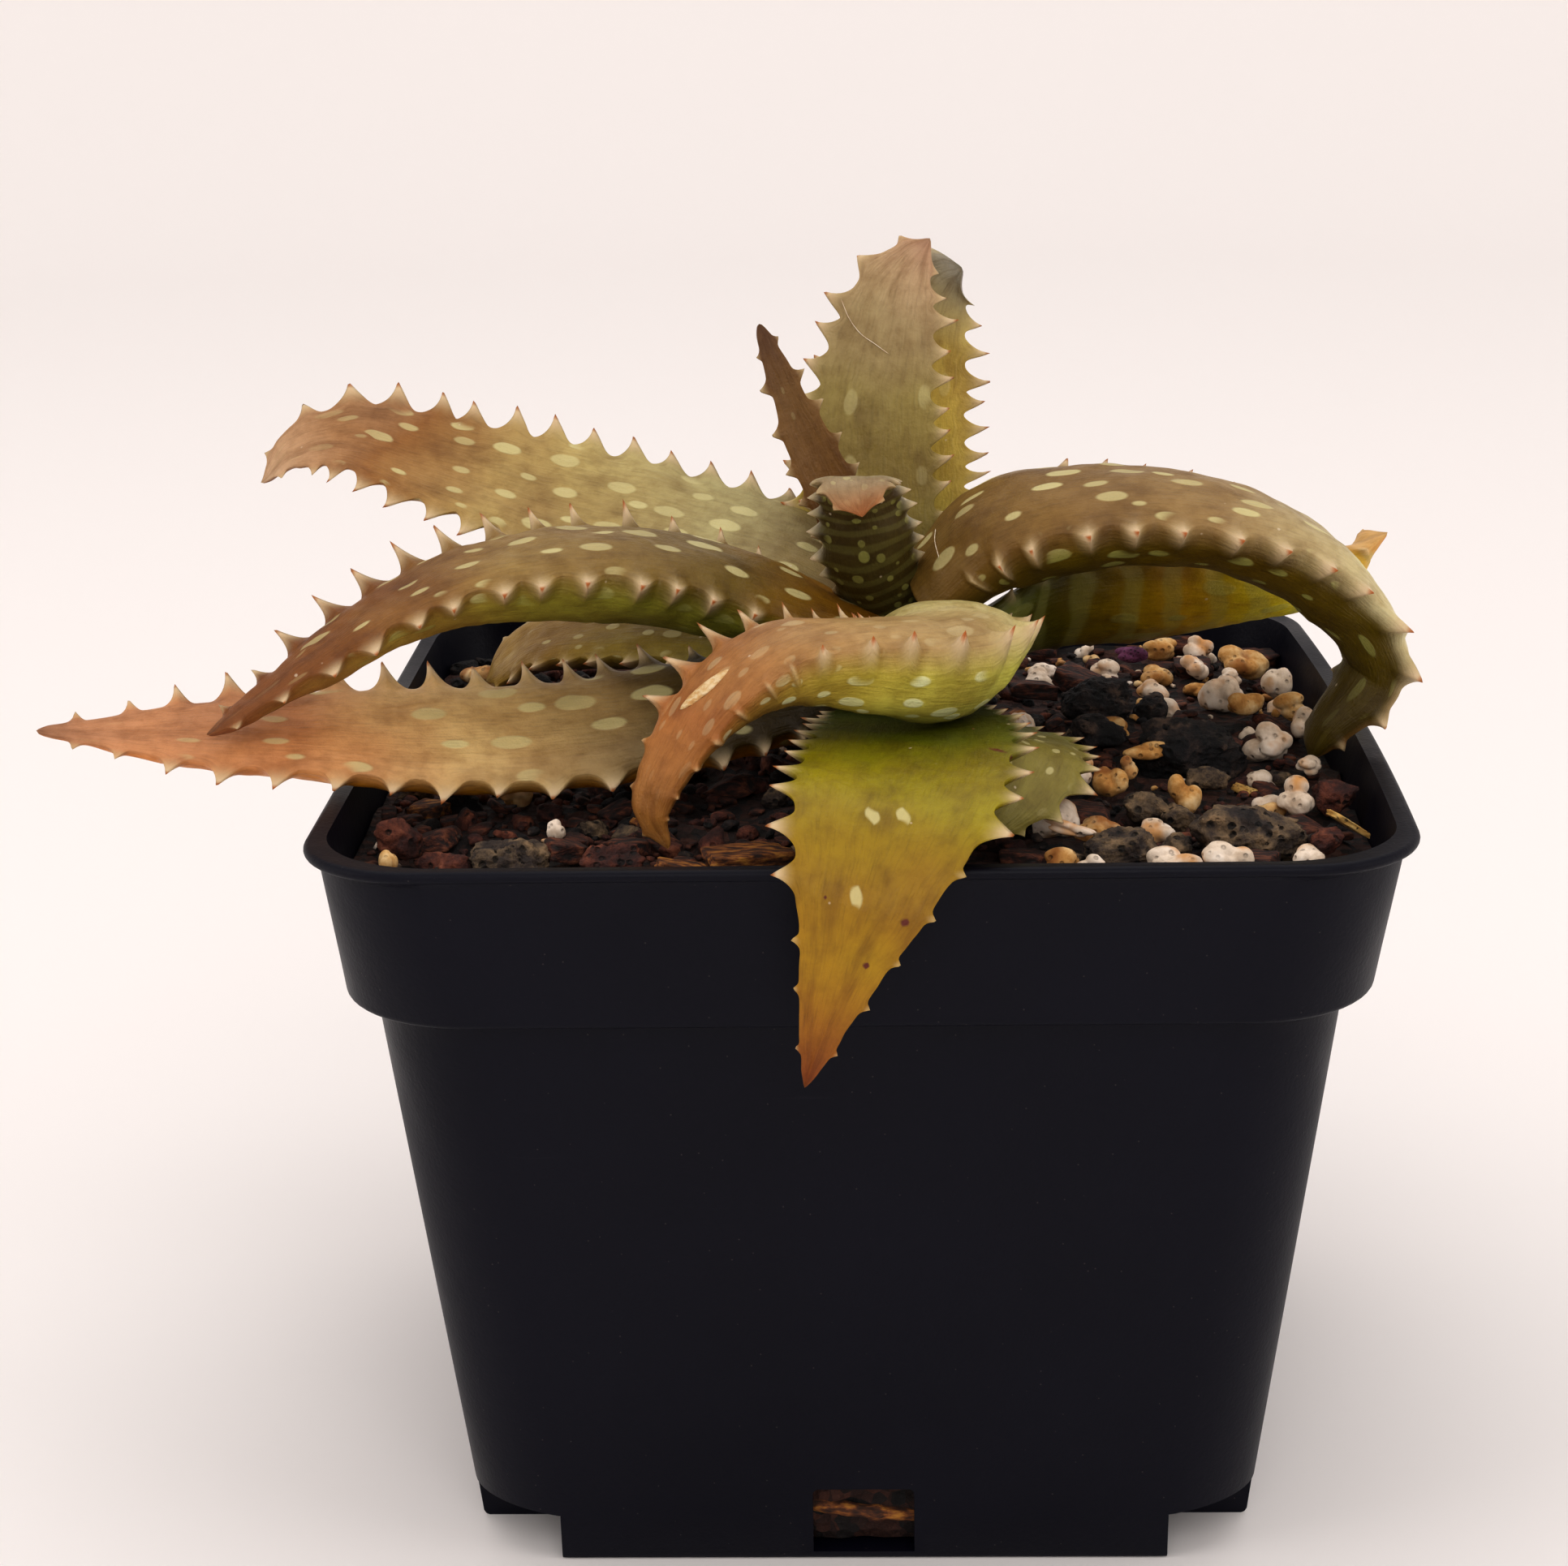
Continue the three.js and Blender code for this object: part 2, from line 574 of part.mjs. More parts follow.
// A rough stone: a round-cornered lump with each corner moved in or out a little
function makeStone([x, y, z, rx, ry, rz, turn], detail, seed, grow) {
  const random = seeded(seed);
  const lump = new THREE.IcosahedronGeometry(1, detail);
  lump.deleteAttribute('normal');
  lump.deleteAttribute('uv');
  const shape = mergeVertices(lump);
  const place = shape.attributes.position;
  const point = new THREE.Vector3();
  for (let k = 0; k < place.count; k += 1) {
    const swell = STONE_LEAST + STONE_SWELL * random();
    point.fromBufferAttribute(place, k).multiplyScalar(swell);
    place.setXYZ(k, point.x * (rx + grow), point.y * (ry + grow), point.z * (rz + grow));
  }
  shape.rotateZ(turn);
  shape.translate(x, y, z);
  return solid(shape);
}

// A round bar along a curve through points
function makeBar(points, radius) {
  const curve = new THREE.CatmullRomCurve3(points.map((p) => new THREE.Vector3(...p)));
  const round = new THREE.Shape();
  for (let k = 0; k < ROOT_SIDES; k += 1) {
    const angle = 2 * Math.PI * k / ROOT_SIDES;
    const [x, y] = [radius * Math.cos(angle), radius * Math.sin(angle)];
    if (k === 0) round.moveTo(x, y);
    else round.lineTo(x, y);
  }
  round.closePath();
  return solid(new THREE.ExtrudeGeometry(round, { steps: ROOT_STEPS, extrudePath: curve }));
}

// The short stem that carries the leaves, or the plain hole round it in the mix
function makeStem(grow) {
  const radius = STEM_RADIUS + grow;
  const profile = [
    new THREE.Vector2(0, STEM_FOOT - grow),
    new THREE.Vector2(radius, STEM_FOOT - grow),
    new THREE.Vector2(radius, STEM_TOP - STEM_SHOULDER),
    new THREE.Vector2(radius * STEM_HEAD_SHARE, STEM_TOP - STEM_HEAD + grow),
    new THREE.Vector2(0, STEM_TOP + grow),
  ];
  const turned = new THREE.LatheGeometry(profile, STEM_SIDES);
  turned.rotateX(Math.PI / 2);
  turned.translate(STEM_X, STEM_Y, 0);
  return solid(turned);
}

// Height of the mix at a place: seeded lumps, a little lower against the pot's walls
function mixHeights(cells, half) {
  const random = seeded(11);
  const heights = [];
  for (let row = 0; row <= cells; row += 1) {
    for (let column = 0; column <= cells; column += 1) {
      const x = half * (2 * column / cells - 1);
      const y = half * (2 * row / cells - 1);
      const edge = Math.max(Math.abs(x), Math.abs(y)) / half;
      const drop = MIX_EDGE_DROP * edge ** MIX_EDGE_POWER;
      heights.push(MIX_TOP + MIX_RELIEF * (2 * random() - 1) - drop);
    }
  }
  return heights;
}

// A block of mix with its lumpy top, before it takes the shape of the room
function makeMixBlock() {
  const half = LIP_HALF + 1;
  const block = new THREE.BoxGeometry(2 * half, 2 * half, MIX_TOP + 2, MIX_CELLS, MIX_CELLS, 1);
  block.translate(0, 0, MIX_TOP / 2 - 1);
  const heights = mixHeights(MIX_CELLS, half);
  const place = block.attributes.position;
  for (let k = 0; k < place.count; k += 1) {
    if (place.getZ(k) > MIX_TOP - 1) {
      const column = Math.round((place.getX(k) / half + 1) / 2 * MIX_CELLS);
      const row = Math.round((place.getY(k) / half + 1) / 2 * MIX_CELLS);
      place.setZ(k, heights[row * (MIX_CELLS + 1) + column]);
    }
  }
  return solid(block);
}

// The fine grit, thrown over the mix by a seeded rule and sunk well into it
function makeGrit() {
  const random = seeded(29);
  const grit = [];
  const spread = BAND_TOP_HALF - GRIT_MARGIN;
  while (grit.length < GRIT_COUNT) {
    const size = GRIT_LEAST + (GRIT_MOST - GRIT_LEAST) * random() ** 2;
    const x = spread * (2 * random() - 1);
    const y = spread * (2 * random() - 1);
    const narrow = size * (GRIT_NARROW + GRIT_NARROW_SPREAD * random());
    const turn = Math.PI * random();
    const fromStem = Math.hypot(x - STEM_X, y - STEM_Y);
    if (fromStem > GRIT_FROM_STEM && Math.hypot(x, y) < GRIT_REACH) {
      const stone = [x, y, MIX_TOP + GRIT_RISE, size, narrow, size * GRIT_FLAT, turn];
      grit.push(makeStone(stone, 0, grit.length + 1, 0));
    }
  }
  return grit;
}

// A named mesh of a body in its colour
function finish(name, body, colour, roughness) {
  const material = new THREE.MeshStandardMaterial({ color: colour, roughness, metalness: 0 });
  const mesh = new THREE.Mesh(geometryOf(body), material);
  mesh.name = name;
  return mesh;
}

const potGroup = new THREE.Group();
potGroup.add(finish('pot', makePot(), ...COLOURS.pot));

// Leaves from the heart outwards: each gives way to the stem and to the leaves made before it
const plantGroup = new THREE.Group();
plantGroup.add(finish('stem', makeStem(0), ...COLOURS.stem));
const stemRoom = makeStem(GAP);
const leafRooms = [];
for (const [name, leaf] of Object.entries(LEAVES)) {
  const body = largest(cutBy(makeLeaf(leaf, 0), [stemRoom, ...leafRooms]));
  plantGroup.add(finish(name, body, LEAF_COLOURS[name], 0.45));
  leafRooms.push(makeLeaf(leaf, GAP));
}

// Stones lie in the mix, clear of the leaves
const mixGroup = new THREE.Group();
const stoneRooms = [];
Object.entries(STONES).forEach(([name, stone], k) => {
  const body = largest(cutBy(makeStone(stone, 1, 100 + k, 0), [...leafRooms, ...stoneRooms]));
  mixGroup.add(finish(name, body, ...COLOURS[stone[7]]));
  stoneRooms.push(makeStone(stone, 1, 100 + k, GAP));
});
mixGroup.add(finish('root_at_drain', makeBar(ROOT_PATH, ROOT_RADIUS), ...COLOURS.root));

// The mix fills the pot, with room left for the stem, stones, root and low leaves
const pads = CORNERS.map((side) => cornerBlock(side, WALL + GAP));
const rootRoom = makeBar(ROOT_PATH.map(([x, y, z]) => [x * ROOT_ROOM_STRETCH, y, z]), ROOT_RADIUS + GAP);
const mixBlock = makeGrit().reduce((body, piece) => body.add(piece), makeMixBlock());
const mixBody = cutBy(mixBlock.intersect(room(GAP)), [
  ...pads, stemRoom, ...leafRooms, ...stoneRooms, rootRoom,
]);
mixGroup.add(finish('potting_mix', largest(mixBody), ...COLOURS.mix));

const plant = new THREE.Group();
plant.add(potGroup, mixGroup, plantGroup);

export default plant;
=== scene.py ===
import math

import bpy
import numpy as np
from mathutils import Matrix, Vector
from mathutils.bvhtree import BVHTree


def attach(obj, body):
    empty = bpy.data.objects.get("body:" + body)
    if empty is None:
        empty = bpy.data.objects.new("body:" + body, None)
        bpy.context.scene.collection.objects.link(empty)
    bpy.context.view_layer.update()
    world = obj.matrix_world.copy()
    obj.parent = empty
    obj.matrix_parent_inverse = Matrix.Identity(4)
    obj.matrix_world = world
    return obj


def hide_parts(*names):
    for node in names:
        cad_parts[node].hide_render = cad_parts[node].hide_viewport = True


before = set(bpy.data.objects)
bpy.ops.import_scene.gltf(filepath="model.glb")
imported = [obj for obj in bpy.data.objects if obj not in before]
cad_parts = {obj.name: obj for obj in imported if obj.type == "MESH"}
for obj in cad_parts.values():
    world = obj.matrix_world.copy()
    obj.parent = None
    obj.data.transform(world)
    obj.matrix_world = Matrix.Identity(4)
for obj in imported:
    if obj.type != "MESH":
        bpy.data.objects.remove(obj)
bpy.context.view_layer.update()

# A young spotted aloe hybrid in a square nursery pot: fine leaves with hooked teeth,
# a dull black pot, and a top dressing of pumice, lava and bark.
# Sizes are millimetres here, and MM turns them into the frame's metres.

MM = 0.001

# Driving sizes of the pot, as in the frame
POT_HEIGHT = 74.4
LIP_HALF = 50
LIP_HEIGHT = 1.1
BAND_TOP_HALF = 49.1
BAND_FOOT_HALF = 47.6
STEP_Z = 58.8
BODY_TOP_HALF = 45
BODY_FOOT_HALF = 38.1
WALL = 1
FLOOR = 0.9
CORNER_TOP = 11
CORNER_FOOT = 9.6
SIDE_BOW = 1.5
FOOT_HALF = 29.4
NOTCH_HEIGHT = 3.6
NOTCH_SLOPE = 0.16
DRAIN_WIDTH = 9.8
DRAIN_TOP = 8.1
EDGE_ROUND = 0.6

# Driving sizes of the mix, the stem and the root
GAP = 0.35
MIX_TOP = 70.4
MIX_FOOT = 1.3
STEM_RADIUS = 4.2
STEM_PLACE = (4, 4)
STEM_FOOT = 58
STEM_TOP = 88
ROOT_RADIUS = 0.7
CORD_ROUGHNESS = 0.12
ROOT_PATH = [(-9, -35, 5.4), (-3.5, -36.8, 5.1), (3.5, -36.9, 4.3), (9, -35, 3.8)]

# The camera: where it stands, how it is turned, and its lens
CAMERA_PLACE = (1.5, -304.2, 157.6)
CAMERA_YAW = -1.711
CAMERA_PITCH = 16.479
CAMERA_ROLL = -1.028
PHOTO_WIDE = 1932
PHOTO_HIGH = 1930
FOCAL_PIXELS = 3795.46
SENSOR = 36

# The studio, in metres: its floor, each soft light's place, aim, side, power and colour, and air
FLOOR_FLAT = 1.0
FLOOR_BEND = 0.6
SOFTBOXES = {
    "overhead_softbox": ((0.0, 0.4, 1.7), (0, 0.3, 0), 2.2, 15, (1.0, 0.98, 0.975)),
    "front_softbox": ((0.1, -1.0, 0.75), (0, 0, 0.06), 0.8, 4.2, (1.0, 0.98, 0.97)),
    "left_softbox": ((-0.95, -0.3, 0.5), (0, 0, 0.08), 0.7, 2.0, (1.0, 0.985, 0.98)),
    "right_softbox": ((0.95, -0.3, 0.5), (0, 0, 0.08), 0.7, 1.7, (1.0, 0.985, 0.98)),
}
AIR_COLOUR = (1.0, 0.94, 0.915, 1)
AIR_STRENGTH = 0.58
VIEW_GAMMA = 0.85

# Leaf sampling: length of a step, points round the blade, and what one means on the leaf's sheet,
# where its markings lie
LEAF_STEP = 0.2
LEAF_RING = 56
SHEET_UNIT = 100

# Every blade: its least depth, the drop of its margins by depth, and the length of its round tip
LEAST_DEPTH = 0.7
SHOULDER = 0.16
TIP_LENGTH = 1.6

# Every tooth: its spread round the blade, how steeply it falls off along and round the margin,
# by its height how far it leans ahead and lifts, and how its place (by the pitch) and its size
# vary. Past the teeth, low bumps are a share of their height. The points of teeth of FULL_TOOTH
# and more are brown all through.
TOOTH_SPREAD = math.radians(34)
TOOTH_FALL = 1.9
TOOTH_FALL_ROUND = 1.5
TOOTH_LEAN = 0.3
TOOTH_LIFT = 0.15
TOOTH_SHIFT = 0.1
TOOTH_SIZES = (0.8, 1.15)
BUMP_SHARE = 0.22
FULL_TOOTH = 1.5

# The swollen margin at a tooth: how far out, over and under it bulges, how far that reaches along
# by the tooth's base, and round the blade in radians
SWELL_OUT = 0.3
SWELL_OVER = 0.12
SWELL_UNDER = -0.18
SWELL_ALONG = 0.8
SWELL_ROUND = 0.5

# Lumps of the skin: height and size of the long ones and the short ones
LONG_LUMPS = (0.16, 7)
SHORT_LUMPS = (0.06, 2.4)

# Colours that leaves share: ovals over and under, tooth base, side and point, rust and dust
OVAL_PALE = ("#d0c690", "#a6a65c")
TOOTH_BASE = "#cdb88c"
TOOTH_SIDE = "#d3bb98"
TOOTH_POINT = "#b0642a"
RUST = "#5e2416"
DUST = "#d8c8b0"

# Each leaf follows rows on its upper face, from base to tip: the point, the way the face looks,
# and the width. thick is its depth by its width, and hollow how far the face sinks by half its
# width, both from base to tip. tooth and pitch are a tooth's height and the room it takes. bare
# and lift, for the first margin and the second: the share of the length past which there are no
# teeth, and how teeth rise from the face. face and under are colours from base to tip, and under
# is left out where both are alike. spots: length and width of an oval's cell, how many cells hold
# one, and strength; plain is how much fainter ovals are on the face. bands: step and depth.
LEAVES = {
    "leaf_young_curled": dict(
        rows=[(3, 2, 87, 0, 1, 0.3, 8), (1.3, -2, 93, 0, 1, 0.3, 8.8), (0.6, -4, 98, 0, 1, 0.6, 8),
              (0.2, -6.4, 100.8, 0, 0.5, 1, 6.6), (0.1, -9.6, 101.2, 0, -0.4, 1, 6),
              (0.4, -12, 99.8, 0, -0.9, 0.8, 4.8), (0.8, -13, 98, 0, -1, 0.4, 0.8)],
        thick=(0.36, 0.36), hollow=(0.1, 0.1), tooth=1.2, pitch=2.2, lift=(-0.5, -0.5),
        slot="leaf_olive_green",
        face=["#6b5a30", "#7c6a48", "#a39c86", "#aaa48e", "#aaa28a", "#aaa086",
              "#a89a7c", "#a8906c", "#b07038"],
        under=["#4c4018", "#4c4019", "#4e401c", "#64502c", "#8c7458"],
        spots=(2.2, 2.0, 0.9, 0.6), bands=(1.7, 0.12)),
    "leaf_thin_dry": dict(
        rows=[(2.5, 5, 86, 0.5, -1, 0.2, 4.5), (0, 4, 91, 0.5, -1, 0.2, 5),
              (-2, 2.5, 97, 0.5, -1, 0.2, 5.5), (-5, 1, 104, 0.5, -1, 0.2, 4.5),
              (-9.2, -1, 115, 0.5, -1, 0.2, 0.8)],
        thick=(0.25, 0.25), hollow=(0.2, 0.2), tooth=1.1, pitch=4.2, slot="leaf_dry",
        face=["#7a5426", "#6e481f", "#8b6739", "#89683a", "#6f4e32"],
        spots=(3, 2, 0.1, 0.2)),
    "leaf_upright": dict(
        rows=[(3.5, 9, 88, 0, -1, 0.3, 10), (2, 12, 96, 0, -1, 0.2, 12), (2, 14, 104, 0, -1, 0.2, 11.8),
              (3.2, 16, 111, 0, -1, 0.2, 10), (5, 17, 117, 0.2, -1, 0.2, 7),
              (8, 17.5, 121, 0.3, -1, 0.3, 1)],
        thick=(0.25, 0.25), hollow=(0.15, 0.25), tooth=2.2, pitch=3.4, slot="leaf_olive_green",
        face=["#7e6e27", "#93803d", "#9d8c4e", "#baa67b", "#d7b095"],
        under=["#6d6228", "#776a30", "#7c6c38", "#8a744c", "#9f7a55"],
        spots=(7, 3.4, 0.3, 0.35)),
    "leaf_upright_back": dict(
        rows=[(4, 14, 87, 0, -1, 0.3, 13), (3, 18.5, 95, 0, -1, 0.2, 17), (4.2, 22, 103, 0, -1, 0.2, 15),
              (6.5, 24.5, 110, 0, -1, 0.2, 11.5), (9.2, 26, 115, 0.1, -1, 0.1, 7),
              (11.5, 25.5, 117, 0.1, -0.6, 0.8, 2)],
        thick=(0.22, 0.22), hollow=(0.2, 0.3), tooth=2.6, pitch=3.2, slot="leaf_olive_green",
        face=["#b4a047", "#bea84c", "#c6ae51", "#ceb452", "#d3b856", "#d2b659",
              "#cdb45b", "#baa971", "#afab9c"],
        under=["#6d6424", "#766a28", "#7a6c2e", "#84703a", "#857344", "#8a7c5c",
               "#97918a"],
        spots=(6, 3, 0.3, 0.35)),
    "leaf_front_hooked": dict(
        rows=[(4.5, -3, 84, 0, 0.1, 1, 10), (8, -9, 87.6, 0, 0.15, 1, 12.5), (9.5, -17, 89, 0, 0.15, 1, 13),
              (6.5, -25, 90.2, 0, 0.1, 1, 12), (-0.5, -29.5, 91.3, 0, 0.05, 1, 9.8),
              (-7, -31.6, 90.9, -0.1, -0.15, 1, 9.6), (-12.6, -33.5, 87.2, -0.6, -0.6, 0.8, 8.2),
              (-17.3, -35, 80.4, -0.6, -0.9, 0.3, 5.6), (-18.8, -35.7, 75.4, -0.5, -0.9, 0.2, 3.6),
              (-17.2, -36, 72, -0.5, -0.9, 0.2, 0.8)],
        thick=(0.5, 0.78, 0.86, 0.7, 0.45), hollow=(-0.2, 0), tooth=2.1, pitch=3.6,
        bare=(0.62, 0.8), lift=(1, 1.1), slot="leaf_tan_green",
        face=["#d7ce83", "#d4c58e", "#b99762", "#ab6f37", "#bc8642"],
        under=["#e7e797", "#e7e774", "#d0c056", "#ac833d", "#c38546"],
        spots=(4.4, 2.6, 0.95, 0.9), plain=0.65,
        pale=("#d8cba0", "#eceec0")),
    "leaf_upper_left": dict(
        rows=[(3, 9, 85.5, 0.3, -0.5, 1, 10), (-6, 12, 90, 0.2, -0.5, 1, 13),
              (-18, 15, 92.8, 0.1, -0.6, 1, 12.8), (-31, 17.5, 95.2, 0, -0.8, 1, 13),
              (-44, 19.5, 98.4, 0, -0.9, 1, 10.8), (-54, 21, 100.8, -0.1, -1, 1, 7.8),
              (-60.5, 21.5, 99.4, -0.7, -0.8, 0.6, 5.4), (-64, 21.5, 95.5, -1, -0.5, 0.1, 1)],
        thick=(0.34, 0.3), hollow=(0, 0.2), tooth=2.8, pitch=4.4, slot="leaf_orange_brown",
        face=["#816739", "#b5a975", "#bda769", "#9e6d35", "#d7b491"],
        under=["#85702a", "#957835", "#ac7d44", "#bb854d", "#b27946"],
        spots=(6.6, 2.9, 0.92, 0.85)),
    "leaf_middle_left": dict(
        rows=[(2, 0, 84.5, 0.2, -0.1, 1, 11), (-8, -4, 90, 0.2, -0.15, 1, 13.5),
              (-17, -7, 93.7, 0.1, -0.12, 1, 13.8), (-26, -11, 95.6, 0, -0.12, 1, 13),
              (-35, -15, 95.2, -0.1, -0.18, 1, 10.4), (-43, -19, 92.8, -0.2, -0.3, 1, 7.6),
              (-51, -24, 88.2, -0.35, -0.4, 1, 5.4), (-60.5, -29, 81.4, -0.3, -0.4, 1, 1)],
        thick=(0.56, 0.68, 0.8), hollow=(-0.15, 0), tooth=3, pitch=4.8, lift=(0, 0.8),
        slot="leaf_olive_green",
        face=["#9b680f", "#76601f", "#9c8047", "#875722", "#925a2b"],
        under=["#6c761a", "#939734", "#a49d3c", "#b59846", "#9c5e36"],
        spots=(7, 3.2, 0.75, 0.8)),
    "leaf_right_arching": dict(
        rows=[(6.5, 1, 89, -0.6, -0.3, 1, 13), (13, -1.5, 96, -0.5, -0.3, 1, 14.5),
              (22.5, -4.5, 98.9, -0.1, -0.17, 1, 14), (32.5, -6, 98.9, 0.1, -0.12, 1, 13.5),
              (41.5, -6.5, 96.6, 0.4, -0.05, 0.9, 12.5), (48.5, -6.5, 92, 0.8, 0.1, 0.7, 11),
              (52, -6.5, 85.5, 0.9, 0.4, 0.3, 9.5), (52, -6.5, 80, 0.9, 0.5, 0, 8.5),
              (47.2, -7, 74.6, 0.8, 0.5, -0.4, 5.3), (45.2, -7.3, 71.6, 0.8, 0.5, -0.4, 1)],
        thick=(0.58, 0.72, 0.69, 0.63, 0.67, 0.7, 0.44, 0.42), hollow=(-0.28, 0), tooth=2.8, pitch=4.8,
        lift=(0.3, 0), slot="leaf_olive_green",
        face=["#7f632a", "#8c6c38", "#aa8d5b", "#e4daad", "#885c07"],
        under=["#745d0c", "#6d5b08", "#6c5507", "#604f04", "#554603"],
        spots=(6.5, 2.8, 0.85, 0.85)),
    "leaf_lower_left": dict(
        rows=[(1, -1, 79.5, 0, -0.4, 1, 10), (-12, -10, 80.1, 0, -0.5, 1, 13.6),
              (-25, -17, 79.5, 0, -0.5, 1, 14), (-38, -21, 79.7, 0, -0.5, 1, 13.4),
              (-51, -24, 80.9, 0, -0.5, 1, 11.2), (-63, -25.5, 81.2, 0, -0.5, 1, 8),
              (-77, -27, 81.4, 0, -0.4, 1, 1)],
        thick=(0.46, 0.44), hollow=(-0.05, 0), tooth=2.3, pitch=4.8, lift=(-0.2, 0.6),
        slot="leaf_orange_brown",
        # The first two face colours are the leaf's tone darkened to near black by painted shade, where the
        # middle left leaf shades this leaf's base.
        face=["#140c00", "#4a3a11", "#d4b47a", "#db9b64", "#b48362"],
        under=["#b47204", "#e7970b", "#e7a51f", "#e79328", "#d4843f"],
        spots=(8.5, 3.6, 0.6, 0.7)),
    "leaf_right_lower": dict(
        rows=[(9, 3, 81.8, 0, 0.7, 1, 12), (20, 8.2, 84.7, 0, 1.1, 1, 13), (31, 10.5, 85.4, 0, 1, 1, 14),
              (42, 12.5, 85.9, 0, 0.6, 1, 12.5), (49, 13.8, 86.9, 0, 0.9, 1, 9.9),
              (52.8, 13.7, 89.6, 0, 0, 1, 6.8), (55.6, 13.5, 90.3, 0, 0, 1, 2)],
        thick=(0.32, 0.38), hollow=(-0.1, 0), tooth=2.4, pitch=4, slot="leaf_olive_green",
        face=["#524d0a", "#6c5f16", "#907328", "#bd9248", "#e7ba73"],
        under=["#556a02", "#615801", "#c59a0a", "#e7db23", "#e7a544"],
        spots=(8, 4, 0.3, 0.5), bands=(4.6, 0.3)),
    "leaf_front_hanging": dict(
        rows=[(4.3, 0, 77, 0, -0.1, 1, 10), (5, -10, 78.5, 0, -0.1, 1, 14), (5.8, -23, 80.8, 0, 0, 1, 16.5),
              (5, -36, 81.8, 0, -0.3, 1, 18), (3.2, -48, 80.1, 0, -0.8, 0.8, 17),
              (0.8, -54.2, 74, 0, -1, 0.3, 12.2), (-1.6, -55.4, 66.5, 0, -1, 0.1, 6.9),
              (-4.6, -56, 56.6, 0, -1, 0.1, 0.8)],
        thick=(0.18, 0.2), hollow=(0.12, 0.06), tooth=2.4, pitch=4.8, bare=(0.66, 0.77),
        slot="leaf_yellow_green",
        # The dark olive of the first colours over and under is the leaf's tone darkened by painted shade,
        # where the leaves above shade the blade's base.
        face=["#333e00", "#3c4600", "#5e6400", "#9c8d04", "#a57e12", "#954f15"],
        under=["#344100", "#3d4800", "#5f6600", "#9c8e06", "#a68015", "#99561b"],
        spots=(6, 5, 0.0, 0.7)),
    "leaf_back_left": dict(
        rows=[(1, 5, 79.5, 0, -0.2, 1, 9), (-14, 11, 81.5, 0, -0.3, 1, 12), (-25, 16, 81, 0, -0.3, 1, 12),
              (-34, 20, 79, -0.3, -0.3, 1, 10), (-39, 22.5, 75.5, -0.8, -0.3, 0.6, 7),
              (-41, 24, 72.6, -1, -0.2, 0.3, 1.5)],
        thick=(0.4, 0.4), hollow=(-0.05, 0), tooth=2.2, pitch=4.4, slot="leaf_olive_green",
        face=["#706a14", "#86771c", "#96802d", "#9f7e2f", "#a38232"],
        under=["#4e5216", "#5a5620", "#6c5e30", "#7a6440", "#8f7450"],
        spots=(4.5, 3, 0.7, 0.65)),
    "leaf_front_under": dict(
        rows=[(7, 1, 75.5, 0, 0, 1, 6.5), (13, -9, 76, 0.1, 0, 1, 8), (16.5, -19, 77.8, 0.2, -0.2, 1, 8.5),
              (17, -28, 79, 0.3, -0.5, 1, 8.5), (15, -34.5, 76.8, 0.3, -1, 0.3, 7),
              (12, -37, 73, 0.3, -1, 0.1, 1)],
        thick=(0.3, 0.3), hollow=(0, 0.05), tooth=2, pitch=3.6, slot="leaf_yellow_green",
        face=["#63701a", "#70781e", "#868228", "#908540", "#8a803a"],
        spots=(4.2, 2.6, 0.75, 0.75)),
}

# Larger stones, as in the frame: middle, half sizes, turn about Z, and kind
STONES = {
    "lava_rock_right": (35.5, -32.5, 71.8, 5.8, 4.6, 3.6, 0.1, "lava"),
    "lava_rock_middle": (33.5, -5.5, 72.2, 5.2, 4.6, 3.9, 0.7, "char"),
    "lava_rock_back": (25, 15, 71.8, 4.6, 3.6, 2.7, 0.2, "char"),
    "lava_rock_front": (24.5, -36, 71.4, 4.2, 3.4, 2.4, 0.4, "lava"),
    "lava_rock_left": (-31.5, -37.5, 71.3, 3.9, 3.2, 2.5, 0, "lava"),
    "lava_rock_red": (-22.5, -38, 71.2, 3.1, 2.7, 2, 0.3, "red"),
    "bark_chip": (-9.5, -39, 71.3, 4.4, 2.4, 1.8, 0.35, "bark"),
    "pumice_front": (28, -42, 72, 2.9, 2, 1.9, 0, "pumice"),
    "pumice_round": (33.2, -42, 72.1, 2.3, 2, 2, 0.3, "pumice"),
    "pumice_corner": (41, -40.5, 71.9, 2, 1.8, 1.7, 0.8, "pumice"),
    "pumice_side": (41.8, -21.5, 72, 2, 2.6, 2.1, 0.3, "pumice"),
    "pumice_large": (42, -3, 72, 2.9, 2.5, 2.4, 0.2, "pumice"),
    "pumice_middle": (39.5, 18, 71.8, 2.7, 2.4, 2.1, 0.4, "pumice"),
    "pumice_back": (43, 31, 71.8, 3.1, 2.5, 2, 0.1, "tan"),
    "pumice_near_left": (19, -27, 71.9, 2.6, 2.4, 2.2, 0.4, "pumice"),
    "pumice_near_right": (22.5, -29, 71.6, 2, 2.4, 2, 1, "tan"),
    "pumice_ochre": (31.3, -19.5, 71.8, 1.9, 1.9, 2, 0, "tan"),
    "pumice_far_left": (-42, 29, 71.8, 3.2, 2.6, 2.1, 0.2, "tan"),
}
STONE_SLOTS = {"lava": "lava_stone", "char": "dark_stone", "red": "lava_stone", "bark": "bark",
               "pumice": "pumice", "tan": "tan_stone", "gold": "tan_stone", "wood": "bark",
               "purple": "root"}


# Meshes

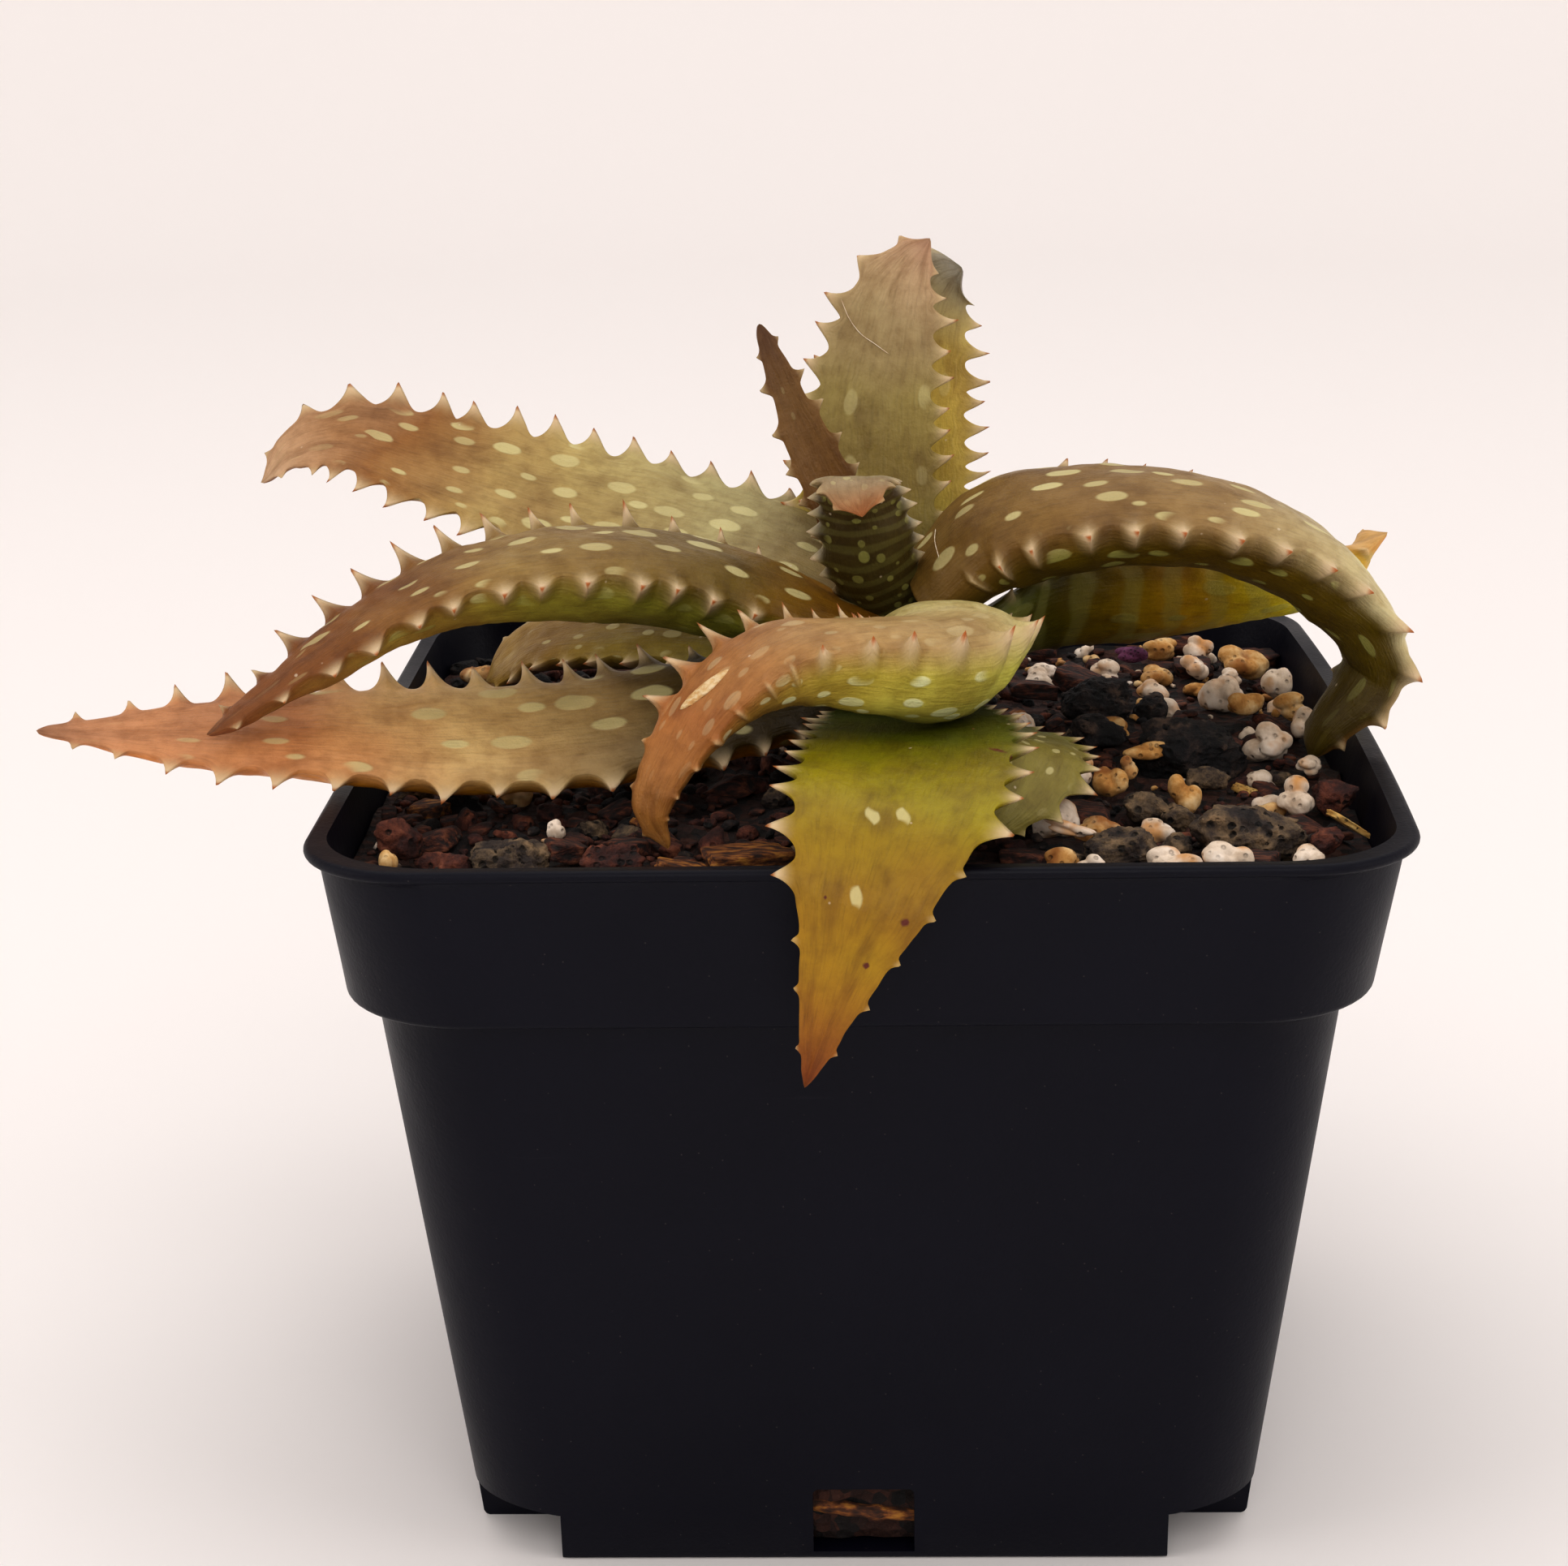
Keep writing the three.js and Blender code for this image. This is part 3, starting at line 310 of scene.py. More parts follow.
def build_mesh(name, points, quads, tris, fields=None, corner_uv=None):
    """A smooth mesh in metres from points in millimetres, with fields at points and a UV map."""
    mesh = bpy.data.meshes.new(name)
    quads = np.asarray(quads, int).reshape(-1, 4)
    corners = np.concatenate([quads.ravel(), tris.ravel()]).astype(np.int32)
    starts = np.concatenate([np.arange(len(quads)) * 4, len(quads) * 4 + np.arange(len(tris)) * 3])
    mesh.vertices.add(len(points))
    mesh.vertices.foreach_set("co", (np.asarray(points, float) * MM).astype(np.float32).ravel())
    mesh.loops.add(len(corners))
    mesh.loops.foreach_set("vertex_index", corners)
    mesh.polygons.add(len(starts))
    mesh.polygons.foreach_set("loop_start", starts.astype(np.int32))
    mesh.update(calc_edges=True)
    for field, values in (fields or {}).items():
        layer = mesh.attributes.new(field, "FLOAT", "POINT")
        layer.data.foreach_set("value", np.asarray(values, np.float32).ravel())
    if corner_uv is not None:
        layer = mesh.uv_layers.new(name="UVMap")
        layer.data.foreach_set("uv", corner_uv.astype(np.float32).ravel())
    mesh.polygons.foreach_set("use_smooth", np.ones(len(starts), bool))
    mesh.update()
    return mesh


def new_object(name, data):
    """An object in the scene that holds the data."""
    thing = bpy.data.objects.new(name, data)
    bpy.context.scene.collection.objects.link(thing)
    return thing


def place_piece(name, mesh, material, slot, *nodes):
    """Puts a mesh in the scene as a piece of the plant, standing for nodes of the frame."""
    piece = new_object(name, mesh)
    mesh.materials.clear()
    mesh.materials.append(material)
    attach(piece, "root")
    if nodes:
        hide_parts(*nodes)


def tube_faces(rows, ring):
    """Quads of a grid of rows closed round a ring, then fans over its first and its last row."""
    r, k = np.meshgrid(np.arange(rows - 1), np.arange(ring), indexing="ij")
    a = r * ring + k
    b = r * ring + (k + 1) % ring
    quads = np.stack([a, b, b + ring, a + ring], axis=-1).reshape(-1, 4)
    turn = np.arange(ring)
    first, last, top = rows * ring, rows * ring + 1, (rows - 1) * ring
    start = np.stack([np.full(ring, first), (turn + 1) % ring, turn], axis=1)
    end = np.stack([np.full(ring, last), top + turn, top + (turn + 1) % ring], axis=1)
    return quads, np.concatenate([start, end])


def closed_tube(rings):
    """Points, quads and triangles of rings of points closed at both ends on the rings' middles."""
    rows, ring = rings.shape[:2]
    quads, tris = tube_faces(rows, ring)
    points = np.concatenate([rings.reshape(-1, 3), rings[0].mean(0)[None], rings[-1].mean(0)[None]])
    return points, quads, tris


def unit(v):
    """Arrows cut or stretched to length one."""
    return v / np.maximum(np.linalg.norm(v, axis=-1, keepdims=True), 1e-9)


def between(low, high, share):
    """The value a share of the way from low to high."""
    return low + (high - low) * share


def quarter_turned(points, quarters):
    """Points turned about Z by whole quarter turns."""
    c, s = round(math.cos(quarters * math.pi / 2)), round(math.sin(quarters * math.pi / 2))
    x, y = points[:, 0], points[:, 1]
    return np.column_stack([x * c - y * s, x * s + y * c, points[:, 2:]])


def waves(points, size, seed, count=9):
    """Smooth lumps from -1 to 1: the mean of sine waves about size apart in seeded directions."""
    random = np.random.default_rng(seed)
    ways = unit(random.normal(size=(count, points.shape[-1])))
    reach = 2 * math.pi / size * random.uniform(0.7, 1.4, count)
    turn = random.uniform(0, 2 * math.pi, count)
    return np.sin((points @ ways.T) * reach + turn).sum(-1) / math.sqrt(count) / 1.4


# Materials

def linear(colour):
    """A colour of six hexadecimal digits as linear red, green, blue and full alpha."""
    parts = [int(colour[k:k + 2], 16) / 255 for k in (1, 3, 5)]
    return (*[p / 12.92 if p <= 0.04045 else ((p + 0.055) / 1.055) ** 2.4 for p in parts], 1.0)


class Finish:
    """A material under construction: each method adds a node and gives what comes out of it."""

    def __init__(self, name):
        self.material = bpy.data.materials.new(name)
        self.material.use_nodes = True
        self.tree = self.material.node_tree
        self.shader = self.tree.nodes["Principled BSDF"]

    def put(self, socket, value):
        """Links a result to a socket, or sets the socket to a plain value."""
        if isinstance(value, bpy.types.NodeSocket):
            self.tree.links.new(value, socket)
        elif isinstance(value, str):
            socket.default_value = linear(value)
        else:
            socket.default_value = value

    def node(self, kind, inputs, **settings):
        """A node with its settings, and its inputs given by name or number."""
        made = self.tree.nodes.new("ShaderNode" + kind)
        for key, value in settings.items():
            setattr(made, key, value)
        for key, value in inputs.items():
            self.put(made.inputs[key], value)
        return made

    def place(self):
        """Where a point of the surface is on the piece, in metres."""
        return self.node("TexCoord", {}).outputs["Object"]

    def sheet(self):
        """The leaf's own sheet: SHEET_UNIT along the leaf, and round it."""
        return self.node("UVMap", {}).outputs[0]

    def field(self, name):
        """A value kept at the mesh's points."""
        return self.node("Attribute", {}, attribute_name=name).outputs["Fac"]

    def stretch(self, vector, x, y, z=1.0):
        """The vector with its three parts scaled."""
        return self.node("VectorMath", {0: vector, 1: (x, y, z)}, operation="MULTIPLY").outputs[0]

    def noise(self, scale, vector=None, detail=3.0, roughness=0.5):
        """Cloudy noise from 0 to 1, scale lumps to a metre."""
        vector = self.place() if vector is None else vector
        inputs = {"Vector": vector, "Scale": scale, "Detail": detail, "Roughness": roughness}
        return self.node("TexNoise", inputs).outputs[0]

    def cells(self, scale, vector=None, flat=False, randomness=1.0):
        """A cell pattern: its distance from each cell's point, and each cell's chance colour."""
        vector = self.place() if vector is None else vector
        made = self.node("TexVoronoi", {"Vector": vector, "Scale": scale, "Randomness": randomness},
                         voronoi_dimensions="2D" if flat else "3D")
        return made.outputs["Distance"], made.outputs["Color"]

    def maths(self, operation, a, b=0.0, c=0.0):
        """One sum on numbers."""
        return self.node("Math", {0: a, 1: b, 2: c}, operation=operation).outputs[0]

    def times(self, a, b):
        """One number times another."""
        return self.maths("MULTIPLY", a, b)

    def span(self, value, low, high, start=0.0, end=1.0):
        """A smooth rise from start to end as value goes from low to high."""
        inputs = {"Value": value, "From Min": low, "From Max": high, "To Min": start, "To Max": end}
        return self.node("MapRange", inputs, interpolation_type="SMOOTHSTEP").outputs[0]

    def blend(self, factor, a, b, kind="MIX"):
        """Colour a turning into colour b as factor rises."""
        made = self.node("Mix", {0: factor, 6: a, 7: b}, data_type="RGBA", blend_type=kind)
        return made.outputs[2]

    def shade(self, factor, colour, dye):
        """A colour dyed by another as factor rises."""
        return self.blend(factor, colour, self.blend(1.0, colour, dye, "MULTIPLY"))

    def ramp(self, factor, colours):
        """A run of colours evenly spread from 0 to 1."""
        made = self.node("ValToRGB", {0: factor})
        stops = made.color_ramp.elements
        while len(stops) < len(colours):
            stops.new(0.5)
        for k, (stop, colour) in enumerate(zip(stops, colours)):
            stop.position = k / (len(colours) - 1)
            stop.color = linear(colour)
        return made.outputs[0]

    def part(self, colour, k):
        """One of a colour's three channels."""
        return self.node("SeparateColor", {0: colour}).outputs[k]

    def bump(self, height, depth, below=None):
        """Relief of that depth in metres, laid over other relief."""
        inputs = {"Height": height, "Distance": depth, "Strength": 1.0}
        if below is not None:
            inputs["Normal"] = below
        return self.node("Bump", inputs).outputs[0]

    def done(self, colour, roughness, normal=None, **constants):
        """Feeds the shader and gives the material."""
        self.put(self.shader.inputs["Base Color"], colour)
        self.put(self.shader.inputs["Roughness"], roughness)
        if normal is not None:
            self.put(self.shader.inputs["Normal"], normal)
        for key, value in constants.items():
            self.put(self.shader.inputs[key.replace("_", " ")], value)
        return self.material


def leaf_skin(name, leaf):
    """Leaf skin: colours run from base to tip, differ over and under, and carry pale oval spots."""
    length, width, share, strength = leaf["spots"]
    f = Finish(name)
    sheet = f.sheet()
    t = f.field("along")
    under = f.field("under")
    tooth = f.field("tooth")
    swell = f.field("swell")
    broad = f.noise(70, detail=2)
    fine = f.noise(620, detail=4, roughness=0.65)
    drift = f.maths("MULTIPLY_ADD", f.maths("SUBTRACT", broad, 0.5), 0.3, t)
    skin = f.blend(under, f.ramp(drift, leaf["face"]), f.ramp(drift, leaf.get("under", leaf["face"])))
    skin = f.shade(f.span(broad, 0.35, 0.65, 0.0, 0.35), skin, "#bfb09a")
    skin = f.shade(f.span(fine, 0.35, 0.75, 0.0, 0.4), skin, "#c4b49c")
    streak = f.noise(1.0, f.stretch(sheet, 35, 320), detail=3)
    mottle = f.noise(1.0, f.stretch(sheet, 14, 30), detail=3, roughness=0.6)
    skin = f.shade(f.span(mottle, 0.42, 0.72, 0.0, 0.5), skin, "#b39c74")
    skin = f.shade(f.span(streak, 0.45, 0.8, 0.0, 0.25), skin, "#a09a90")
    # Pale ovals: stretched cells on the sheet, each with its own size, and some left out
    cells = f.stretch(sheet, SHEET_UNIT / length, SHEET_UNIT / width)
    away, chance = f.cells(1.0, cells, flat=True, randomness=0.85)
    size = f.maths("MULTIPLY_ADD", f.part(chance, 0), 0.17, 0.09)
    edge = f.maths("SUBTRACT", away, size)
    there = f.maths("LESS_THAN", f.part(chance, 1), share)
    blade = f.span(f.maths("ADD", tooth, f.times(swell, 0.4)), 0.0, 0.3, 1.0, 0.0)
    oval = f.times(f.times(f.span(edge, 0.035, -0.03), there), blade)
    oval = f.times(oval, f.span(t, 0.7, 0.95, 1.0, 0.1))
    oval = f.times(oval, f.span(under, 0.0, 1.0, 1 - leaf.get("plain", 0.0), 1.0))
    faint = f.maths("MULTIPLY_ADD", f.part(chance, 2), 0.4, 0.6)
    oval = f.maths("MAXIMUM", f.times(oval, faint), f.span(f.field("oval"), 1.15, 0.8))
    pale = f.blend(under, *leaf.get("pale", OVAL_PALE))
    skin = f.blend(f.times(oval, strength), skin, pale)
    # Faint bands across the blade
    if "bands" in leaf:
        step, depth = leaf["bands"]
        down_leaf = f.times(f.part(sheet, 0), 2 * SHEET_UNIT * math.pi / step)
        wave = f.maths("SINE", f.maths("MULTIPLY_ADD", broad, 14.0, down_leaf))
        below = f.times(under, depth)
        skin = f.blend(f.times(f.span(wave, -0.2, 0.7), below), skin, pale)
    # Tooth bases and sides pale, tooth points orange brown, then rusty dots and dust
    skin = f.blend(f.span(swell, 0.45, 1.0, 0.0, 0.42), skin, TOOTH_BASE)
    skin = f.blend(f.span(tooth, 0.26, 0.8, 0.0, 0.9), skin, TOOTH_SIDE)
    skin = f.blend(f.span(tooth, 0.7, 0.92), skin, TOOTH_POINT)
    skin = f.blend(f.span(f.field("scar"), 1.3, 0.7), skin, RUST)
    speck, specked = f.cells(420)
    dust = f.times(f.span(speck, 0.09, 0.05), f.maths("LESS_THAN", f.part(specked, 0), 0.16))
    skin = f.blend(f.times(dust, 0.55), skin, DUST)
    relief = f.bump(f.noise(3600, detail=2), 0.00005)
    relief = f.bump(fine, 0.00012, relief)
    relief = f.bump(streak, 0.0001, relief)
    relief = f.bump(oval, 0.00005, relief)
    rough = f.span(fine, 0.2, 0.8, 0.36, 0.52)
    return f.done(skin, rough, relief, Subsurface_Weight=0.1, Subsurface_Radius=(0.8, 0.6, 0.3),
                  Subsurface_Scale=0.0015, Specular_IOR_Level=0.32)


def pot_plastic():
    """Moulded black polypropylene: faint blue, dull sheen, hairline scuffs and thin dust."""
    f = Finish("black_pot_plastic")
    place = f.place()
    cloud = f.noise(45, place, detail=4)
    scuff = f.noise(1.0, f.stretch(place, 60, 60, 900), detail=4, roughness=0.7)
    dust, _ = f.cells(700, place)
    colour = f.blend(f.span(cloud, 0.3, 0.75, 0.0, 1.0), "#070714", "#0b0b18")
    colour = f.blend(f.span(dust, 0.07, 0.03, 0.0, 0.25), colour, "#6f6862")
    colour = f.blend(f.span(scuff, 0.68, 0.8, 0.0, 0.12), colour, "#3a3840")
    rough = f.span(cloud, 0.3, 0.7, 0.36, 0.5)
    relief = f.bump(f.noise(2600, place, detail=2), 0.00003)
    relief = f.bump(f.noise(160, place), 0.00012, relief)
    return f.done(colour, rough, relief, Specular_IOR_Level=0.16)


def potting_soil():
    """Damp dark mix: nearly black crumbs with rusty bits."""
    f = Finish("damp_potting_mix")
    crumbs, chance = f.cells(900)
    colour = f.ramp(f.part(chance, 0), ["#0a0607", "#1c0f0c", "#361b13", "#4e2a1c", "#1c110e"])
    relief = f.bump(f.noise(1500, detail=5, roughness=0.7), 0.0006)
    relief = f.bump(crumbs, 0.0007, relief)
    return f.done(colour, 0.8, relief)


def stone_finish(name, colours, pores, stain=None, depth=0.0003, dark=0.6):
    """A porous stone: mottled colours, lighter where the relief rises and darker where it sinks as painted
    highlight and painted shade, pores of a size, some darkened as painted shade in their pits, and stains
    in patches.
    """
    f = Finish(name)
    place = f.place()
    mottle = f.noise(380, place, detail=5, roughness=0.65)
    # Painted highlight and shade: the noise that raises the relief also lightens the colour, so raised
    # parts are lighter and low parts darker, over the stone's own mottled tone.
    colour = f.ramp(f.span(mottle, 0.25, 0.75), colours)
    if stain:
        patch = f.span(f.noise(260, place, detail=3), 0.48, 0.68, 0.0, 0.9)
        colour = f.blend(patch, colour, stain)
    away, chance = f.cells(pores, place)
    pore_pit_and_shade = f.times(f.span(away, 0.38, 0.12), f.maths("GREATER_THAN", f.part(chance, 0), 0.45))
    # Painted shade: the pores are darkened in colour by dark, on top of being sunk in the relief.
    colour = f.shade(f.times(pore_pit_and_shade, dark), colour, "#5a4a40")
    relief = f.bump(mottle, depth)
    relief = f.bump(f.maths("SUBTRACT", 1.0, pore_pit_and_shade), depth, relief)
    return f.done(colour, 0.85, relief)


def fibre_finish(name, colours):
    """Bark and roots: dark and light fibres along the piece."""
    f = Finish(name)
    place = f.place()
    grain = f.noise(1.0, f.stretch(place, 500, 1700, 1700), detail=4, roughness=0.6)
    colour = f.ramp(f.span(grain, 0.3, 0.7), colours)
    return f.done(colour, 0.8, f.bump(grain, 0.0004))


STONE_FINISHES = {
    "lava": stone_finish("grey_brown_lava", ["#171110", "#3a2e27", "#66543f", "#93795a"], 900,
                         depth=0.0012, dark=0.8),
    "char": stone_finish("black_char", ["#050405", "#0f0c0d", "#2a201d", "#5e4a3c"], 800,
                         depth=0.0014, dark=0.85),
    "red": stone_finish("red_lava", ["#1a0b08", "#3c1a13", "#60301f", "#8a5238"], 1000,
                        depth=0.001, dark=0.7),
    "pumice": stone_finish("white_pumice", ["#bfa78e", "#d9c6b0", "#ead9c6", "#f2e6d8"], 1300,
                           stain="#c98f48", depth=0.0002, dark=0.3),
    "tan": stone_finish("ochre_pumice", ["#a06c30", "#c49250", "#d9b47c", "#e6cca0"], 1300,
                        stain="#945a22", depth=0.0002, dark=0.35),
    "gold": stone_finish("gold_flake", ["#7a5624", "#a87c3a", "#c49c56", "#d4b878"], 2600),
    "purple": stone_finish("purple_root_bit", ["#3a1830", "#5c2a4c", "#7c4468", "#9c6c80"], 2600,
                           depth=0.0002),
    "bark": fibre_finish("orange_bark", ["#231008", "#4c2810", "#7c481c", "#a8742c"]),
    "wood": fibre_finish("dark_bark", ["#0e0605", "#2c140d", "#4c2416", "#74432a"]),
    "fibre": fibre_finish("pale_fibre", ["#d0b898", "#e0ccb0", "#ecdcc4", "#f4e8d4"]),
    "scab": fibre_finish("cream_scab", ["#b88a52", "#d0a870", "#dcc090", "#e6d0a8"]),
}


# The camera

def camera_turn():
    """The camera's three ways, right, down and ahead, from its yaw, pitch and roll."""
    yaw, pitch, roll = (math.radians(v) for v in (CAMERA_YAW, CAMERA_PITCH, CAMERA_ROLL))
    cy, sy, cp, sp = math.cos(yaw), math.sin(yaw), math.cos(pitch), math.sin(pitch)
    cr, sr = math.cos(roll), math.sin(roll)
    about_z = Matrix(((cy, -sy, 0), (sy, cy, 0), (0, 0, 1)))
    tip = Matrix(((1, 0, 0), (0, -sp, -cp), (0, cp, -sp)))
    lean = Matrix(((cr, -sr, 0), (sr, cr, 0), (0, 0, 1)))
    return lean @ tip @ about_z


def make_camera():
    """The camera at the picture's viewing angle."""
    data = bpy.data.cameras.new("camera")
    data.sensor_width = SENSOR
    data.lens = FOCAL_PIXELS * SENSOR / PHOTO_WIDE
    data.clip_start, data.clip_end = 0.01, 20
    camera = new_object("camera", data)
    right, down, ahead = camera_turn()
    camera.matrix_world = Matrix.Translation(Vector(CAMERA_PLACE) * MM) @ Matrix(
        (right, -down, -ahead)).transposed().to_4x4()
    bpy.context.scene.camera = camera


def sight(px, py):
    """The way from the camera through a point of the picture, given in its pixels."""
    right, down, ahead = camera_turn()
    across = (px - PHOTO_WIDE / 2) / FOCAL_PIXELS
    below = (py - PHOTO_HIGH / 2) / FOCAL_PIXELS
    return (ahead + right * across + down * below).normalized()


def seen_on(tree, px, py):
    """The point and outward way where that line of sight meets a shape, in millimetres."""
    point, normal, _, _ = tree.ray_cast(Vector(CAMERA_PLACE), sight(px, py))
    return point, normal


# The pot

def square_ring(half, corner, z, corner_steps=14, side_steps=26):
    """One level of the pot: a square with round corners, its right side bowed out near the rim."""
    flat = half - corner
    arc = np.linspace(-math.pi / 2, 0, corner_steps + 1)
    bend = np.stack([flat + corner * np.cos(arc), -flat + corner * np.sin(arc)], axis=1)
    edge = np.stack([np.full(side_steps - 1, half),
                     -flat + 2 * flat * np.arange(1, side_steps) / side_steps], axis=1)
    side = np.concatenate([bend, edge])
    ring = np.concatenate([quarter_turned(side, quarters) for quarters in range(4)])
    rise = min(max((z - STEP_Z) / (POT_HEIGHT - STEP_Z), 0), 1)
    right = np.maximum(ring[:, 0], 0) / half
    ring[:, 0] += SIDE_BOW * rise * (1 - (ring[:, 1] / half) ** 2) * right
    return np.column_stack([ring, np.full(len(ring), z)])


def corner_block(quarters, grow):
    """A block with a sloped top, where a corner of the pot is raised from the floor."""
    near, far = FOOT_HALF - grow, BODY_FOOT_HALF + 12
    square = np.array([(near, near), (far, near), (far, far), (near, far)], float)
    top = NOTCH_HEIGHT + grow + NOTCH_SLOPE * (square.sum(1) - 2 * near)
    turned = quarter_turned(square, quarters)
    return np.stack([np.column_stack([turned, np.full(4, -1.0)]), np.column_stack([turned, top])])


def drain_block(quarters):
    """A block for the drain slot low in the middle of one side, with soft upper corners."""
    half = DRAIN_WIDTH / 2
    arc = np.linspace(0, math.pi / 2, 6)
    right = np.stack([half - EDGE_ROUND + EDGE_ROUND * np.cos(arc),
                      DRAIN_TOP - EDGE_ROUND + EDGE_ROUND * np.sin(arc)], axis=1)
    left = right[::-1] * (-1, 1)
    x, z = np.concatenate([[(half, FLOOR)], right, left, [(-half, FLOOR)]]).T
    rings = [quarter_turned(np.column_stack([x, np.full(len(x), y), z]), quarters)
             for y in (-BODY_FOOT_HALF + 5, -BODY_FOOT_HALF - 5)]
    return np.stack(rings)


def loose_object(name, rings):
    """A closed skin over rings as an object for cutting."""
    return new_object(name, build_mesh(name, *closed_tube(rings)))


def carve(body, cutters):
    """The body less each cutter; the cutters are used up."""
    for cutter in cutters:
        cut = body.modifiers.new("cut", "BOOLEAN")
        cut.operation, cut.solver, cut.object = "DIFFERENCE", "EXACT", cutter
    bpy.context.view_layer.update()
    whole = bpy.data.meshes.new_from_object(body.evaluated_get(bpy.context.evaluated_depsgraph_get()))
    body.modifiers.clear()
    body.data = whole
    for cutter in cutters:
        bpy.data.objects.remove(cutter)


def profile_rings(rows):
    """Rings of the pot at (half width, corner radius, height)."""
    return np.stack([square_ring(half, corner, z) for half, corner, z in rows])


def bead(half, corner, z, radius, start, stop, steps=5):
    """A rounded edge on the pot's profile: rows along an arc of that radius."""
    angles = np.radians(np.linspace(start, stop, steps))
    return [(half + radius * math.cos(angle), corner + radius * math.cos(angle),
             z + radius * math.sin(angle)) for angle in angles]


def make_pot(material):
    """The pot: tapered body, shoulder, wider band and rolled lip, hollowed and slotted."""
    roll = LIP_HEIGHT / 2
    foot = [(BODY_FOOT_HALF - 0.5, CORNER_FOOT - 0.5, 0),
            (BODY_FOOT_HALF - 0.15, CORNER_FOOT - 0.15, 0.15),
            (BODY_FOOT_HALF + 0.06, CORNER_FOOT, 0.5)]
    slope = [(between(BODY_FOOT_HALF, BODY_TOP_HALF, t), between(CORNER_FOOT, CORNER_TOP, t), STEP_Z * t)
             for t in (0.1, 0.25, 0.4, 0.55, 0.7, 0.85, 0.95, 0.985)]
    shoulder = [(BODY_TOP_HALF + 0.1, CORNER_TOP + 0.1, STEP_Z - 0.25),
                (BODY_TOP_HALF + 0.6, CORNER_TOP + 0.4, STEP_Z - 0.02),
                (BAND_FOOT_HALF - 0.7, CORNER_TOP + 1.4, STEP_Z)]
    shoulder += bead(BAND_FOOT_HALF - EDGE_ROUND, CORNER_TOP + 1.4, STEP_Z + EDGE_ROUND, EDGE_ROUND, -80, 0)
    rise = POT_HEIGHT - LIP_HEIGHT - STEP_Z - 1
    band = [(between(BAND_FOOT_HALF, BAND_TOP_HALF, t), CORNER_TOP + 2 - t, STEP_Z + 0.8 + rise * t)
            for t in (0.25, 0.5, 0.75, 0.97)]
    lip = bead(LIP_HALF - roll, CORNER_TOP - roll, POT_HEIGHT - roll, roll, -85, 88, 9)
    cap = [(LIP_HALF - 1.5, CORNER_TOP - 1.5, POT_HEIGHT - 0.1)]
    body = loose_object("pot", profile_rings(foot + slope + shoulder + band + lip + cap))
    hollow = loose_object("hollow", profile_rings([
        (BODY_FOOT_HALF - WALL, CORNER_FOOT - WALL, FLOOR),
        (BODY_TOP_HALF - WALL, CORNER_TOP - WALL, STEP_Z + WALL - 0.4),
        (BODY_TOP_HALF - WALL + 0.2, CORNER_TOP - WALL, STEP_Z + WALL),
        (BAND_FOOT_HALF - WALL - 0.2, CORNER_TOP, STEP_Z + WALL + 0.2),
        (BAND_FOOT_HALF - WALL, CORNER_TOP, STEP_Z + WALL + 0.6),
        (BAND_TOP_HALF - WALL, CORNER_TOP, POT_HEIGHT - 0.5),
        (BAND_TOP_HALF - WALL + 0.25, CORNER_TOP, POT_HEIGHT + 1),
    ]))
    carve(hollow, [loose_object("pad", corner_block(side, WALL)) for side in range(4)])
    notches = [loose_object("notch", corner_block(side, 0)) for side in range(4)]
    drains = [loose_object("drain", drain_block(side)) for side in range(4)]
    carve(body, [hollow] + notches + drains)
    mesh = body.data
    mesh.polygons.foreach_set("use_smooth", np.ones(len(mesh.polygons), bool))
    mesh.set_sharp_from_angle(angle=math.radians(34))
    bpy.data.objects.remove(body)
    mesh.name = "square_pot"
    place_piece("square_pot", mesh, material, "pot_plastic", "pot")


# Leaves

def along(rows, s):
    """Places on the smooth curve through rows of numbers; s runs from 0 to the last row.
    Each stretch is the cubic whose slope at a row is half the step between its neighbours."""
    rows = np.asarray(rows, float)
    ends = np.vstack([2 * rows[0] - rows[1], rows, 2 * rows[-1] - rows[-2]])
    s = np.clip(s, 0, len(rows) - 1 - 1e-9)
    i = s.astype(int)
    t = (s - i)[:, None]
    a, b, c, d = ends[i], ends[i + 1], ends[i + 2], ends[i + 3]
    return 0.5 * (2 * b + (c - a) * t + (2 * a - 5 * b + 4 * c - d) * t ** 2
                  + (3 * b - a - 3 * c + d) * t ** 3)


def even_places(rows, step):
    """Places on a leaf's curve about one step apart, and the curve's length."""
    fine = np.linspace(0, len(rows) - 1, 600)
    marks = along(np.asarray(rows, float)[:, :3], fine)
    lengths = np.r_[0, np.cumsum(np.linalg.norm(np.diff(marks, axis=0), axis=1))]
    count = int(round(lengths[-1] / step)) + 1
    return np.interp(np.linspace(0, lengths[-1], count), lengths, fine), lengths[-1]


def tooth_rows(leaf, length, s, bare_from, random):
    """For each step of one margin: how far its tooth stands out, from 0 to 1 of its own height,
    that height, and how much the margin swells there.
    A tooth falls from its middle as (1 - distance)^TOOTH_FALL, and each has its own size and place.
    Past bare_from, a share of the length, only low bumps are left."""
    number = round(length / leaf["pitch"])
    j = np.arange(1, number)
    shift = random.uniform(-TOOTH_SHIFT, TOOTH_SHIFT, len(j)) * leaf["pitch"]
    middle = length * (3 * j + 1) / (3 * number) + shift
    t = middle / length
    height = leaf["tooth"] * np.minimum(np.minimum(1, 4 * t), np.maximum(5 - 5 * t, 0.35))
    height = height * random.uniform(*TOOTH_SIZES, len(j)) * np.where(t > bare_from, BUMP_SHARE, 1)
    half_base = np.minimum(0.5 * leaf["pitch"], 0.75 * height + 0.3)
    away = (s[:, None] - middle[None]) / half_base[None]
    rise = np.clip(1 - np.abs(away), 0, 1) ** TOOTH_FALL
    best = rise.argmax(1)
    rows = np.arange(len(s))
    swell = np.exp(-(np.abs(away).min(1) / SWELL_ALONG) ** 2)
    return rise[rows, best], height[best], swell


